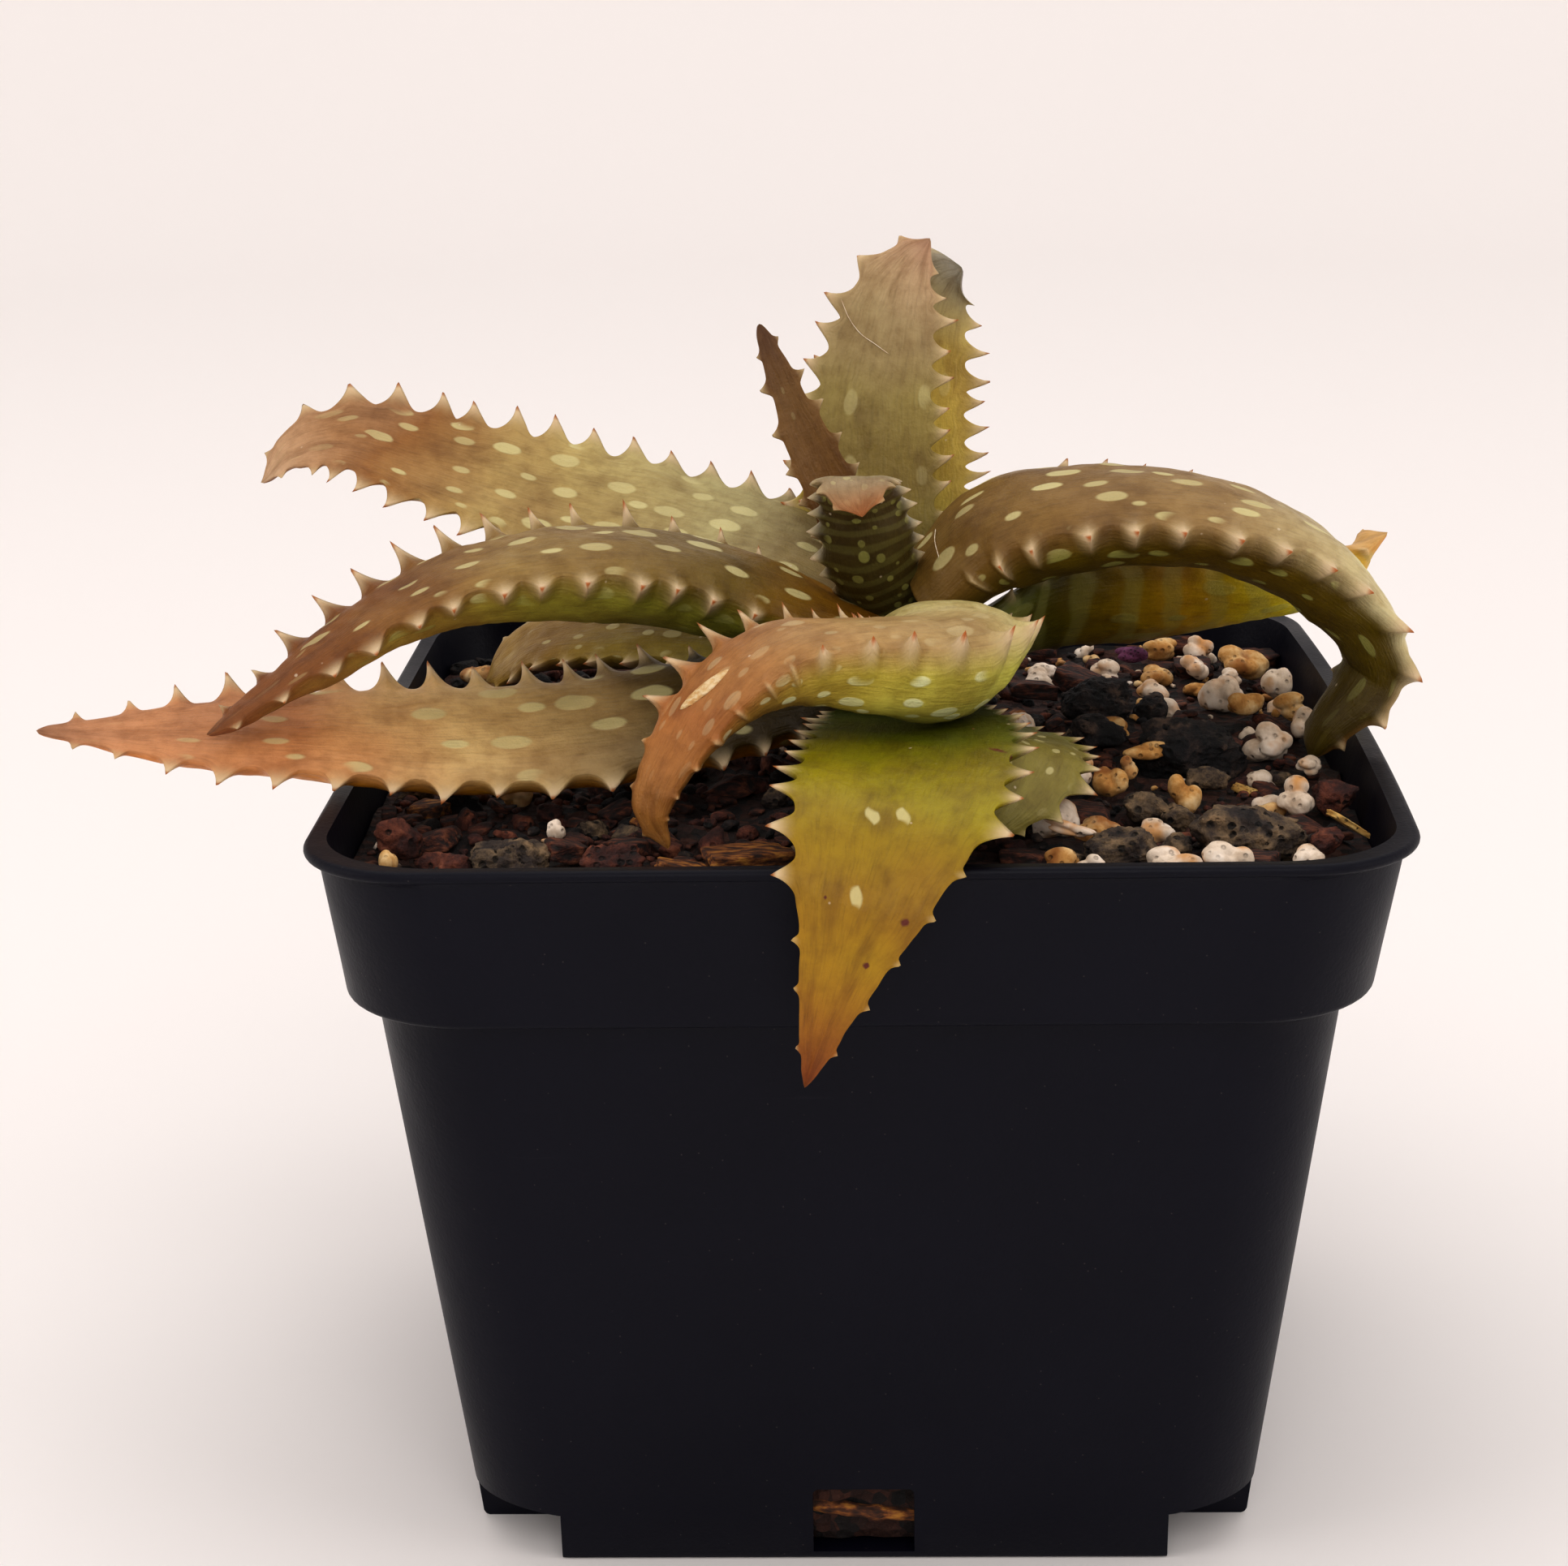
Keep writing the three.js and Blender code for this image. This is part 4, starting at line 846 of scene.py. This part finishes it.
def leaf_rings(leaf, seed):
    """The leaf's skin as rings of points, what each point is for the material, and how far each
    ring is from the base. Across the blade a point lies at -cos(angle) of the half width. The
    upper face sinks by sink x (1 - across^2), the under face also hangs by
    depth x sqrt(1 - across^2), and both drop a little towards the margins. The tip closes as a
    quarter circle."""
    rows = np.asarray(leaf["rows"], float)
    random = np.random.default_rng(seed)
    place, length = even_places(rows, LEAF_STEP)
    line = along(rows, place)
    ahead = unit(along(rows, np.minimum(place + 0.02, len(rows) - 1))[:, :3]
                 - along(rows, np.maximum(place - 0.02, 0))[:, :3])
    side = unit(np.cross(ahead, line[:, 3:6]))
    face = np.cross(side, ahead)
    t = np.linspace(0, 1, len(place))
    s = t * length
    tip = np.sqrt(1 - np.clip((s - length + TIP_LENGTH) / TIP_LENGTH, 0, 1) ** 2)
    width = np.maximum(line[:, 6], 0.5)
    thick = np.interp(t, np.linspace(0, 1, len(leaf["thick"])), leaf["thick"])
    depth = np.maximum(thick * width, np.minimum(LEAST_DEPTH, width)) * tip
    sink = between(*leaf["hollow"], t) * width / 2 * tip
    angle = 2 * math.pi * np.arange(LEAF_RING) / LEAF_RING
    across = -np.cos(angle)
    arch = 1 - across ** 2
    below = angle > math.pi
    grid = np.ones((len(place), LEAF_RING))
    out = (width / 2 * tip)[:, None] * across[None]
    lift = -sink[:, None] * arch[None] - depth[:, None] * (np.sqrt(arch) * below)[None]
    lift -= SHOULDER * depth[:, None] * (np.abs(across) ** 6)[None]
    ahead_by, tooth, swell = 0 * grid, 0 * grid, 0 * grid
    bare, lifts = leaf.get("bare", (1, 1)), leaf.get("lift", (TOOTH_LIFT, TOOTH_LIFT))
    for centre, sign, bare_from, tooth_lift in zip((0.0, math.pi), (-1, 1), bare, lifts):
        turn = np.abs((angle - centre + math.pi) % (2 * math.pi) - math.pi)
        near = np.clip(1 - turn / TOOTH_SPREAD, 0, 1) ** TOOTH_FALL_ROUND
        rise, height, puff = tooth_rows(leaf, length, s, bare_from, random)
        grown = rise[:, None] * near[None]
        out += sign * height[:, None] * grown
        ahead_by += TOOTH_LEAN * height[:, None] * rise[:, None] * grown
        lift += tooth_lift * height[:, None] * rise[:, None] * grown
        soft = puff[:, None] * np.exp(-(turn / SWELL_ROUND) ** 2)[None]
        out += sign * SWELL_OUT * soft * tip[:, None]
        lift += np.where(below, SWELL_UNDER, SWELL_OVER)[None] * soft * np.sqrt(arch)[None]
        tooth = np.maximum(tooth, grown * np.minimum(height / FULL_TOOTH, 1)[:, None])
        swell = np.maximum(swell, soft)
    points = (line[:, None, :3] + side[:, None] * out[..., None] + face[:, None] * lift[..., None]
              + ahead[:, None] * ahead_by[..., None])
    calm = (1 - tooth)[..., None] * tip[:, None, None]
    way = unit(points - points.mean(1, keepdims=True))
    ripple = LONG_LUMPS[0] * waves(points, LONG_LUMPS[1], seed)
    ripple = ripple + SHORT_LUMPS[0] * waves(points, SHORT_LUMPS[1], seed + 50)
    points = points + way * ripple[..., None] * calm
    fields = {
        "along": t[:, None] * grid,
        "under": np.where(below, np.clip(np.sqrt(arch) / 0.35, 0, 1), 0)[None] * grid,
        "tooth": tooth,
        "swell": swell,
    }
    return points, fields, s


def sheet_corners(s, points):
    """Corner places on the leaf's sheet: how far along the leaf and how far round it."""
    count, ring = points.shape[:2]
    girth = np.linalg.norm(np.diff(np.concatenate([points, points[:, :1]], axis=1), axis=1), axis=2)
    middle = np.r_[0, np.cumsum(np.median(girth, axis=0))]
    r, k = np.meshgrid(np.arange(count - 1), np.arange(ring), indexing="ij")
    u = np.stack([s[r], s[r], s[r + 1], s[r + 1]], axis=-1)
    v = np.stack([middle[k], middle[k + 1], middle[k + 1], middle[k]], axis=-1)
    quads = np.stack([u, v], axis=-1).reshape(-1, 2)
    turn = np.arange(ring)
    ends = []
    for row, order in ((0, (1, 0)), (count - 1, (0, 1))):
        fan = [np.column_stack([np.full(ring, s[row]), np.full(ring, middle[-1] / 2)])]
        fan += [np.column_stack([np.full(ring, s[row]), middle[turn + step]]) for step in order]
        ends.append(np.stack(fan, axis=1).reshape(-1, 2))
    return np.concatenate([quads] + ends) / SHEET_UNIT


def shape_tree(points, *faces):
    """A closed shape made ready for finding nearest points."""
    return BVHTree.FromPolygons(points.tolist(), [corners for part in faces for corners in part.tolist()])


def oval_field(points, ovals, tree):
    """How far each point lies from the nearest mark, where 1 is the mark's edge. A mark is given
    by the picture's pixels, its half length down the leaf and its half width in millimetres."""
    field = np.full(len(points), 4.0)
    for px, py, long_half, wide_half in ovals:
        middle, normal = seen_on(tree, px, py)
        if middle is None:
            continue
        down = Vector((0.06, 0, -1))
        down = (down - normal * down.dot(normal)).normalized()
        sideways = normal.cross(down)
        away = points - np.array(middle)
        near = np.hypot(away @ np.array(down) / long_half, away @ np.array(sideways) / wide_half)
        field = np.minimum(field, near)
    return field


# Marks on the hanging leaf, by the picture's pixels: pale ovals, then rusty dots
PALE_OVALS = [(1075, 1005, 1.1, 0.62), (1113, 1005, 1.15, 0.6), (1055, 1105, 1.1, 0.55)]
RUSTY_DOTS = [(1115, 1137, 0.38, 0.38), (1067, 1190, 0.32, 0.3), (1245, 935, 0.3, 0.3),
              (1016, 1106, 0.2, 0.2)]


def make_leaf(name, leaf, seed):
    """One leaf as its own piece; gives its shape for the stones to keep clear of."""
    points, fields, s = leaf_rings(leaf, seed)
    solid_points, quads, tris = closed_tube(points)
    # A coarser skin, every third ring and second point, is enough for finding places on the leaf
    tree = shape_tree(*closed_tube(points[::3, ::2]))
    ends = np.array([0.0, 1.0])
    flat = {key: np.concatenate([value.ravel(), ends * (key == "along")]) for key, value in fields.items()}
    hanging = name == "leaf_front_hanging"
    flat["oval"] = oval_field(solid_points, PALE_OVALS if hanging else [], tree)
    flat["scar"] = oval_field(solid_points, RUSTY_DOTS if hanging else [], tree)
    mesh = build_mesh("fine_" + name, solid_points, quads, tris, flat, sheet_corners(s, points))
    place_piece("fine_" + name, mesh, leaf_skin("skin_of_" + name, leaf), leaf["slot"], name)
    return tree


# Small things on the leaves, by the picture's pixels
SCAB_ENDS = ((838, 874), (898, 825))
SCAB_HALF_WIDE = 0.72
SCAB_HIGH = 0.22
HAIR_RADIUS = 0.045
HAIR_ABOVE = 0.12
LOOSE_HAIRS = {
    "hair_on_upright": ("leaf_upright", [(1036, 368), (1046, 392), (1060, 411), (1078, 424), (1096, 437)]),
    "hair_by_arch": ("leaf_right_arching", [(1154, 652), (1153, 668), (1158, 688)]),
}


def hits(tree, pixels, above):
    """Points a little above a shape where lines of sight meet it, and the outward ways there."""
    met = [seen_on(tree, px, py) for px, py in pixels]
    met = [(np.array(point), np.array(normal)) for point, normal in met if point is not None]
    points, normals = (np.array(column) for column in zip(*met))
    return points + above * normals, normals


def make_scab(tree, material):
    """A dry lens-shaped scab: its half width and its rise follow the 0.6th power of a half sine."""
    t = np.linspace(0, 1, 31)[:, None]
    line, out = hits(tree, np.array(SCAB_ENDS[0]) * (1 - t) + np.array(SCAB_ENDS[1]) * t, 0.02)
    ahead = unit(np.gradient(line, axis=0))
    side = unit(np.cross(ahead, out))
    arc = np.sin(np.linspace(0.01, math.pi - 0.01, len(line)))[:, None, None] ** 0.6
    angle = (2 * math.pi * np.arange(16) / 16)[None, :, None]
    groove = 1 - 0.6 * np.exp(-(np.cos(angle) / 0.22) ** 2)
    rings = line[:, None] - SCAB_HALF_WIDE * arc * side[:, None] * np.cos(angle)
    rings = rings + SCAB_HIGH * arc * groove * out[:, None] * np.sin(angle)
    place_piece("dry_scab", build_mesh("dry_scab", *closed_tube(rings)), material, "leaf_tan_green")


# Stones, bark and mix

def ball(level):
    """A unit ball of triangles: an icosahedron split level times, then pushed out to radius one."""
    g = (1 + math.sqrt(5)) / 2
    points = [(-1, g, 0), (1, g, 0), (-1, -g, 0), (1, -g, 0), (0, -1, g), (0, 1, g),
              (0, -1, -g), (0, 1, -g), (g, 0, -1), (g, 0, 1), (-g, 0, -1), (-g, 0, 1)]
    faces = [(0, 11, 5), (0, 5, 1), (0, 1, 7), (0, 7, 10), (0, 10, 11), (1, 5, 9), (5, 11, 4),
             (11, 10, 2), (10, 7, 6), (7, 1, 8), (3, 9, 4), (3, 4, 2), (3, 2, 6), (3, 6, 8),
             (3, 8, 9), (4, 9, 5), (2, 4, 11), (6, 2, 10), (8, 6, 7), (9, 8, 1)]
    points, faces = unit(np.array(points, float)), np.array(faces)
    for _ in range(level):
        pairs = np.sort(np.concatenate([faces[:, [0, 1]], faces[:, [1, 2]], faces[:, [2, 0]]]), axis=1)
        edges, back = np.unique(pairs, axis=0, return_inverse=True)
        ab, bc, ca = (back.reshape(3, -1) + len(points))
        points = np.concatenate([points, unit(points[edges].mean(1))])
        a, b, c = faces.T
        faces = np.concatenate([np.stack(f, axis=1) for f in
                                ((a, ab, ca), (b, bc, ab), (c, ca, bc), (ab, bc, ca))])
    return points, faces


BALLS = {level: ball(level) for level in (1, 2, 3, 4)}


def lobed(ways, random):
    """How far a cluster of seven overlapping balls reaches each way, like popcorn."""
    middles = unit(random.normal(size=(7, 3))) * random.uniform(0.38, 0.62, (7, 1))
    radii = random.uniform(0.4, 0.52, 7)
    ahead = ways @ middles.T
    inside = ahead ** 2 - (middles ** 2).sum(1) + radii ** 2
    reach = np.where(inside > 0, ahead + np.sqrt(np.maximum(inside, 0)), 0.01)
    return ((reach ** 10).sum(1) + 0.5 ** 10) ** 0.1


def chipped(ways, random, faces=16):
    """How far a stone with flat broken faces reaches each way, its edges a little soft."""
    normals = np.concatenate([unit(random.normal(size=(faces, 3))), np.eye(3), -np.eye(3)])
    reach = np.concatenate([random.uniform(0.7, 1.05, faces), np.ones(6)])
    facing = np.maximum(ways @ normals.T, 0.001) / reach
    return (facing ** 14).sum(1) ** (-1 / 14)


def lump(level, half, turn, seed, kind, tilt=0.0):
    """One stone round the origin, stretched to its half sizes, lumpy as its kind is. Pumice is a
    cluster of balls, lava and char are broken with pits, and bark and flakes are boxy slabs:
    their ball is pressed towards a box by raising its parts to a small power."""
    points, faces = BALLS[level]
    random = np.random.default_rng(seed)
    if kind in ("bark", "wood", "gold"):
        shape = np.sign(points) * np.abs(points) ** 0.55
        shape = shape * (0.5 + 0.5 * chipped(points, random, 8))[:, None]
        swell = 1 + 0.08 * waves(points, 1.2, seed) + 0.05 * waves(points, 0.5, seed + 1)
    elif kind in ("lava", "char", "red"):
        shape = points * chipped(points, random)[:, None]
        swell = 1 + 0.08 * waves(points, 0.9, seed) + 0.05 * waves(points, 0.4, seed + 1)
        swell -= 0.09 * np.abs(waves(points, 0.3, seed + 2)) + 0.035 * waves(points, 0.14, seed + 3)
    else:
        shape = points * lobed(points, random)[:, None]
        swell = 1 + 0.04 * waves(points, 0.9, seed) + 0.015 * waves(points, 0.3, seed + 1)
    shape = shape * swell[:, None]
    shape = shape / np.abs(shape).max(0) * np.asarray(half)
    ct, st = math.cos(tilt), math.sin(tilt)
    shape = shape @ np.array([(ct, 0, -st), (0, 1, 0), (st, 0, ct)])
    c, s = math.cos(turn), math.sin(turn)
    return shape @ np.array([(c, s, 0), (-s, c, 0), (0, 0, 1)]), faces


def make_stones():
    """The larger stones, each its own piece where the frame has it; gives their shapes."""
    trees = []
    for k, (name, (x, y, z, rx, ry, rz, turn, kind)) in enumerate(STONES.items()):
        shape, faces = lump(4, (rx, ry, rz), turn, 100 + k, kind)
        shape = shape + (x, y, z)
        mesh = build_mesh("rough_" + name, shape, [], faces)
        place_piece("rough_" + name, mesh, STONE_FINISHES[kind], STONE_SLOTS[kind], name)
        trees.append(shape_tree(shape, faces))
    return trees


def mix_height(x, y):
    """Height of the mix: lumps on a level, a little lower against the pot's walls."""
    spot = np.stack([x, y], axis=-1)
    edge = np.maximum(np.abs(x), np.abs(y)) / LIP_HALF
    return MIX_TOP - 0.5 + 0.7 * waves(spot, 14, 5) + 0.3 * waves(spot, 4, 6) - 1.2 * edge ** 8


def make_mix(material):
    """The mix: its lumpy top, then its sides and bottom inside the pot, clear of the corner pads."""
    inset = WALL + GAP
    top_half = BAND_TOP_HALF - 0.4 - inset
    outline = square_ring(top_half, CORNER_TOP - GAP, MIX_TOP)
    rings = []
    for share in np.linspace(0.004, 1, 110):
        ring = outline * (share, share, 1)
        ring[:, 2] = mix_height(ring[:, 0], ring[:, 1])
        rings.append(ring)
    walls = [(BAND_FOOT_HALF - inset, STEP_Z + WALL + 0.6), (BODY_TOP_HALF - inset, STEP_Z + WALL)]
    walls += [(between(BODY_FOOT_HALF, BODY_TOP_HALF, t) - inset, between(MIX_FOOT, STEP_Z, t))
              for t in (0.9, 0.7, 0.5, 0.3, 0.16, 0.12, 0.09, 0.06, 0.03, 0)]
    for half, z in walls:
        ring = square_ring(half, CORNER_FOOT - inset, z)
        ring[:, :2] *= 1 - 0.012 * (1 + waves(ring, 3, 9))[:, None]
        rings.append(ring)
    for share in (0.97, 0.6, 0.01):
        rings.append(square_ring(BODY_FOOT_HALF - inset, CORNER_FOOT - inset, MIX_FOOT) * (share, share, 1))
    rings = np.stack(rings)
    flat = np.abs(rings[..., :2]).min(-1) > FOOT_HALF - inset
    pad_top = NOTCH_HEIGHT + inset + NOTCH_SLOPE * (np.abs(rings[..., :2]).sum(-1) - 2 * FOOT_HALF)
    rings[..., 2] = np.where(flat & (rings[..., 2] < 20), np.maximum(rings[..., 2], pad_top), rings[..., 2])
    mesh = build_mesh("loose_mix", *closed_tube(rings[::-1]))
    place_piece("loose_mix", mesh, material, "potting_mix", "potting_mix")


# Stones of middle size that the picture shows: kind, middle, half sizes, turn, and tilt
SET_STONES = [
    ("pumice", 21, -14, 72.3, 2.7, 2.2, 2, 0.3, 0),
    ("tan", 24.6, -14.8, 72, 1.7, 2.5, 1.7, 0.2, 0.2),
    ("pumice", 18.8, -19.5, 71.9, 1.7, 1.5, 1.5, 0.9, 0),
    ("tan", 18.2, -40.5, 71.9, 1.9, 1.6, 1.5, 0.4, 0),
    ("pumice", 21, -41.6, 71.8, 1.5, 1.2, 1.2, 0, 0),
    ("pumice", 19.5, -32.6, 72.6, 2.7, 0.7, 0.7, -0.3, 0.2),
    ("tan", 29, -9, 73.2, 3.2, 0.9, 0.9, 0.1, 0), ("tan", 26.8, -12, 72.3, 1.1, 1, 1.2, 0.5, 0.3),
    ("gold", 45.2, -31.6, 72.6, 2.2, 1.7, 0.35, 0.4, 0.6),
    ("tan", 43.4, -41.6, 71.8, 2.1, 0.9, 0.5, 0.1, 0.1),
    ("tan", 45.7, 10.6, 72.4, 1.9, 1.7, 1.6, 0.3, 0),
    ("pumice", 46, 5.2, 72.2, 1.5, 2.2, 2, 0.2, 0),
    ("pumice", 45.1, 18.8, 72.3, 2.4, 1.9, 2.1, 0.7, 0),
    ("tan", 40.8, 12.2, 72.1, 2.4, 1.5, 1.5, 0.2, 0),
    ("pumice", 38.5, 36.6, 72, 1.9, 1.8, 1.7, 0, 0),
    ("pumice", 37.6, 29, 72.2, 1.6, 1.5, 1.6, 0.8, 0),
    ("pumice", 41, 24.6, 72.1, 1.5, 1.4, 1.3, 0.3, 0),
    ("pumice", 44.6, -10, 71.8, 1.4, 1.2, 1, 0.2, 0), ("tan", 34, 37.5, 72, 2.4, 1.6, 1.5, 0, 0),
    ("purple", 30.8, 33.6, 72.4, 2, 1.1, 1, 0.3, 0.1),
    ("wood", 18.9, 18.3, 72.4, 2.8, 1.2, 1, 0.1, 0.1),
    ("char", 24.5, 3.5, 71.7, 3.2, 2.4, 1.8, 0.2, 0),
    ("lava", 27.5, -22.5, 71.5, 2.4, 2, 1.7, 0.2, 0),
    ("lava", 34.5, -13.8, 71.6, 2.6, 1.5, 1.3, 0.3, 0),
    ("red", 45.5, -20.5, 71.9, 2.2, 2.4, 1.9, 0.3, 0),
    ("red", 42.8, -34.8, 71.6, 1.9, 1.6, 1.3, 0.3, 0),
    ("red", -42.3, -33, 72.3, 2.6, 2, 1.9, 0.2, 0.3),
    ("tan", -42.6, -39.6, 72.1, 1.1, 1, 1.7, 0.2, 0.2),
    ("pumice", -28.1, -29.8, 72.1, 0.9, 0.8, 1, 0.1, 0),
    ("tan", -45, -41, 71.7, 1.2, 0.6, 0.4, -0.5, 0),
    ("pumice", -35.2, -43.1, 71.6, 1.2, 0.5, 0.45, 0, 0),
    ("bark", -15.6, -41.2, 71.4, 2.6, 1.4, 1.1, 0.2, 0.2),
    ("red", -36.5, -38.6, 71.3, 1.7, 1.5, 1.4, 0.2, 0),
    ("wood", -26.8, -35, 71.6, 2.2, 1.3, 1, 0.5, 0.3),
]

# The top dressing: kind, how many are tried, least and largest half size, how flat, and how finely
# its ball is split
DRESSING = [
    ("pumice", 40, 1.1, 2.1, 0.85, 3),
    ("tan", 20, 1.1, 2.0, 0.75, 3),
    ("lava", 30, 1.2, 2.2, 0.8, 3),
    ("char", 40, 1.1, 2.2, 0.75, 3),
    ("wood", 90, 1.1, 2.8, 0.5, 2),
    ("red", 90, 0.9, 1.9, 0.75, 2),
    ("bark", 14, 1.0, 2.2, 0.4, 2),
    ("gold", 8, 0.8, 1.5, 0.3, 2),
    ("pumice", 70, 0.3, 0.8, 0.8, 1),
    ("tan", 50, 0.3, 0.7, 0.8, 1),
    ("red", 460, 0.35, 0.9, 0.7, 1),
    ("wood", 520, 0.35, 1.0, 0.5, 1),
    ("char", 360, 0.35, 0.9, 0.7, 1),
]

# Where grains may lie: how far from the wall, how deep into the round corners past CORNER_START,
# how close together by their sizes, and how many places are tried for one
DRESSING_INSET = 3.2
CORNER_START = 34.0
CORNER_ROOM = 19
APART = 0.72
PLACES_TRIED = 6


def likely(kind, x, y):
    """How likely a kind of grain is at a place: pale pumice gathers to the right and the back."""
    right = 1 / (1 + math.exp(-(x - 16) / 5))
    behind = 1 / (1 + math.exp(-(y - 10) / 5))
    pale = right * (0.3 + 0.7 * behind)
    if kind in ("pumice", "tan", "gold"):
        return 0.06 + 0.94 * pale
    return 1 - 0.5 * pale


def make_dressing(trees):
    """Sets the stones of middle size, then throws grains over the mix by a seeded rule, each sunk
    by a third, clear of leaves, stones and each other, and joins each kind in one piece."""
    random = np.random.default_rng(41)
    spread = BAND_TOP_HALF - DRESSING_INSET
    held = []
    joined = {}

    def settle(kind, shape, faces, x, y, z, size):
        held.append((x, y, size))
        joined.setdefault(kind, []).append((shape + (x, y, z), faces))

    for k, (kind, x, y, z, rx, ry, rz, turn, tilt) in enumerate(SET_STONES):
        settle(kind, *lump(3, (rx, ry, rz), turn, 300 + k, kind, tilt), x, y, z, 0.5 * (rx + ry))
    for kind, tries, least, most, flat, level in DRESSING:
        for _ in range(tries):
            for _ in range(PLACES_TRIED):
                x, y = random.uniform(-spread, spread, 2)
                size = least + (most - least) * random.random() ** 1.6
                turn, tilt = random.uniform(0, math.pi), random.normal(0, 0.3)
                long = random.uniform(1, 1.35)
                if random.random() > likely(kind, x, y):
                    continue
                corner = max(abs(x), CORNER_START) + max(abs(y), CORNER_START) - 2 * CORNER_START
                if corner > CORNER_ROOM - size or max(abs(x), abs(y)) > spread + 1.6 - size:
                    continue
                places = np.array(held)
                if (np.hypot(places[:, 0] - x, places[:, 1] - y) < APART * (places[:, 2] + size)).any():
                    continue
                z = float(mix_height(np.array(x), np.array(y))) + size * flat * 0.35 + 0.2
                if any(too_near(tree, Vector((x, y, z)), size) for tree in trees):
                    continue
                half = (size * long, size, size * flat)
                shape, faces = lump(level, half, turn, len(held) + 500, kind, tilt)
                settle(kind, shape, faces, x, y, z, size)
                break
    for kind, grains in joined.items():
        starts = np.cumsum([0] + [len(shape) for shape, _ in grains])
        points = np.concatenate([shape for shape, _ in grains])
        faces = np.concatenate([faces + start for (_, faces), start in zip(grains, starts)])
        mesh = build_mesh("dressing_" + kind, points, [], faces)
        place_piece("dressing_" + kind, mesh, STONE_FINISHES[kind], STONE_SLOTS[kind])


def too_near(tree, spot, size):
    """Whether a grain there would reach into a shape."""
    near, normal, _, away = tree.find_nearest(spot, size * 3)
    if near is None:
        return False
    return away < size * 0.8 or (spot - near).dot(normal) < 0


def cord_rings(path, radius, steps, ring):
    """Rings along the smooth curve through points, their radius varied by seeded lumps."""
    line = along(path, np.linspace(0, len(path) - 1, steps))
    ahead = unit(np.gradient(line, axis=0))
    side = unit(np.cross(ahead, (0.1, 0.2, 1.0)))
    up = np.cross(side, ahead)
    angle = 2 * math.pi * np.arange(ring) / ring
    size = radius * (1 + CORD_ROUGHNESS * waves(line, 2.2, 3))
    taper = np.sqrt(np.clip(1 - np.abs(np.linspace(-1, 1, steps)) ** 12, 0.02, 1))
    size = (size * taper)[:, None, None]
    return line[:, None] + size * (side[:, None] * np.cos(angle)[None, :, None]
                                   + up[:, None] * np.sin(angle)[None, :, None])


def make_cord(name, path, radius, material, slot, *nodes, steps=60, ring=12):
    """A root or a hair along points."""
    points, quads, tris = closed_tube(cord_rings(path, radius, steps, ring))
    place_piece(name, build_mesh(name, points, quads[:, ::-1], tris[:, ::-1]), material, slot, *nodes)


def make_stem(material):
    """The short stem: a turned column with scars of old leaves, closed at its head."""
    height = np.linspace(STEM_FOOT, STEM_TOP - 0.5, 60)
    t = (height - STEM_FOOT) / (STEM_TOP - STEM_FOOT)
    radius = (STEM_RADIUS - 0.1) * np.sqrt(np.clip(1 - np.clip((t - 0.8) / 0.2, 0, 1) ** 2 * 0.8, 0.05, 1))
    radius = radius * (1 - 0.06 * np.abs(np.sin(height * 1.3)))
    angle = np.linspace(0, 2 * math.pi, 40, endpoint=False)
    rings = np.stack([
        STEM_PLACE[0] + radius[:, None] * np.cos(angle)[None],
        STEM_PLACE[1] + radius[:, None] * np.sin(angle)[None],
        height[:, None] * np.ones((1, 40)),
    ], axis=-1)
    place_piece("scarred_stem", build_mesh("scarred_stem", *closed_tube(rings)), material, "stem", "stem")


# The studio

def make_studio():
    """A pale round floor that curves up far off, and soft light from above, in front and beside."""
    turn = np.linspace(0, 2 * math.pi, 96, endpoint=False)
    bend = np.linspace(0, math.pi / 2, 24)
    radius = np.r_[0.001, 0.2, 0.5, 0.8, FLOOR_FLAT + FLOOR_BEND * np.sin(bend)] / MM
    height = np.r_[0, 0, 0, 0, FLOOR_BEND * (1 - np.cos(bend))] / MM
    rings = np.stack([radius[:, None] * np.cos(turn), radius[:, None] * np.sin(turn),
                      height[:, None] * np.ones(len(turn))], axis=-1)
    points, quads, tris = closed_tube(rings)
    mesh = build_mesh("floor", points[:-1], quads[:, ::-1], tris[:len(turn), ::-1])
    mesh.materials.append(Finish("pale_paper").done("#f3efed", 0.9))
    new_object("floor", mesh)
    for name, (place, aim, side, power, colour) in SOFTBOXES.items():
        light = bpy.data.lights.new(name, "AREA")
        light.shape, light.size, light.energy, light.color = "SQUARE", side, power, colour
        lamp = new_object(name, light)
        lamp.location = place
        lamp.rotation_euler = (Vector(aim) - Vector(place)).to_track_quat("-Z", "Y").to_euler()
        lamp.visible_camera = False
    scene = bpy.context.scene
    scene.world = bpy.data.worlds.new("studio")
    scene.world.use_nodes = True
    air = scene.world.node_tree.nodes["Background"]
    air.inputs["Color"].default_value = AIR_COLOUR
    air.inputs["Strength"].default_value = AIR_STRENGTH
    scene.view_settings.view_transform = "Standard"
    scene.view_settings.gamma = VIEW_GAMMA


make_camera()
make_studio()
make_pot(pot_plastic())
leaf_shapes = {name: make_leaf(name, leaf, 10 + k) for k, (name, leaf) in enumerate(LEAVES.items())}
leaf_trees = list(leaf_shapes.values())
make_scab(leaf_shapes["leaf_front_hooked"], STONE_FINISHES["scab"])
for name, (leaf, pixels) in LOOSE_HAIRS.items():
    hair, _ = hits(leaf_shapes[leaf], pixels, HAIR_ABOVE)
    make_cord(name, hair, HAIR_RADIUS, STONE_FINISHES["fibre"], "leaf_dry", steps=24, ring=5)
stone_trees = make_stones()
make_mix(potting_soil())
make_dressing(leaf_trees + stone_trees)
make_cord("drain_root", ROOT_PATH, ROOT_RADIUS, STONE_FINISHES["bark"], "root", "root_at_drain")
make_stem(STONE_FINISHES["bark"])
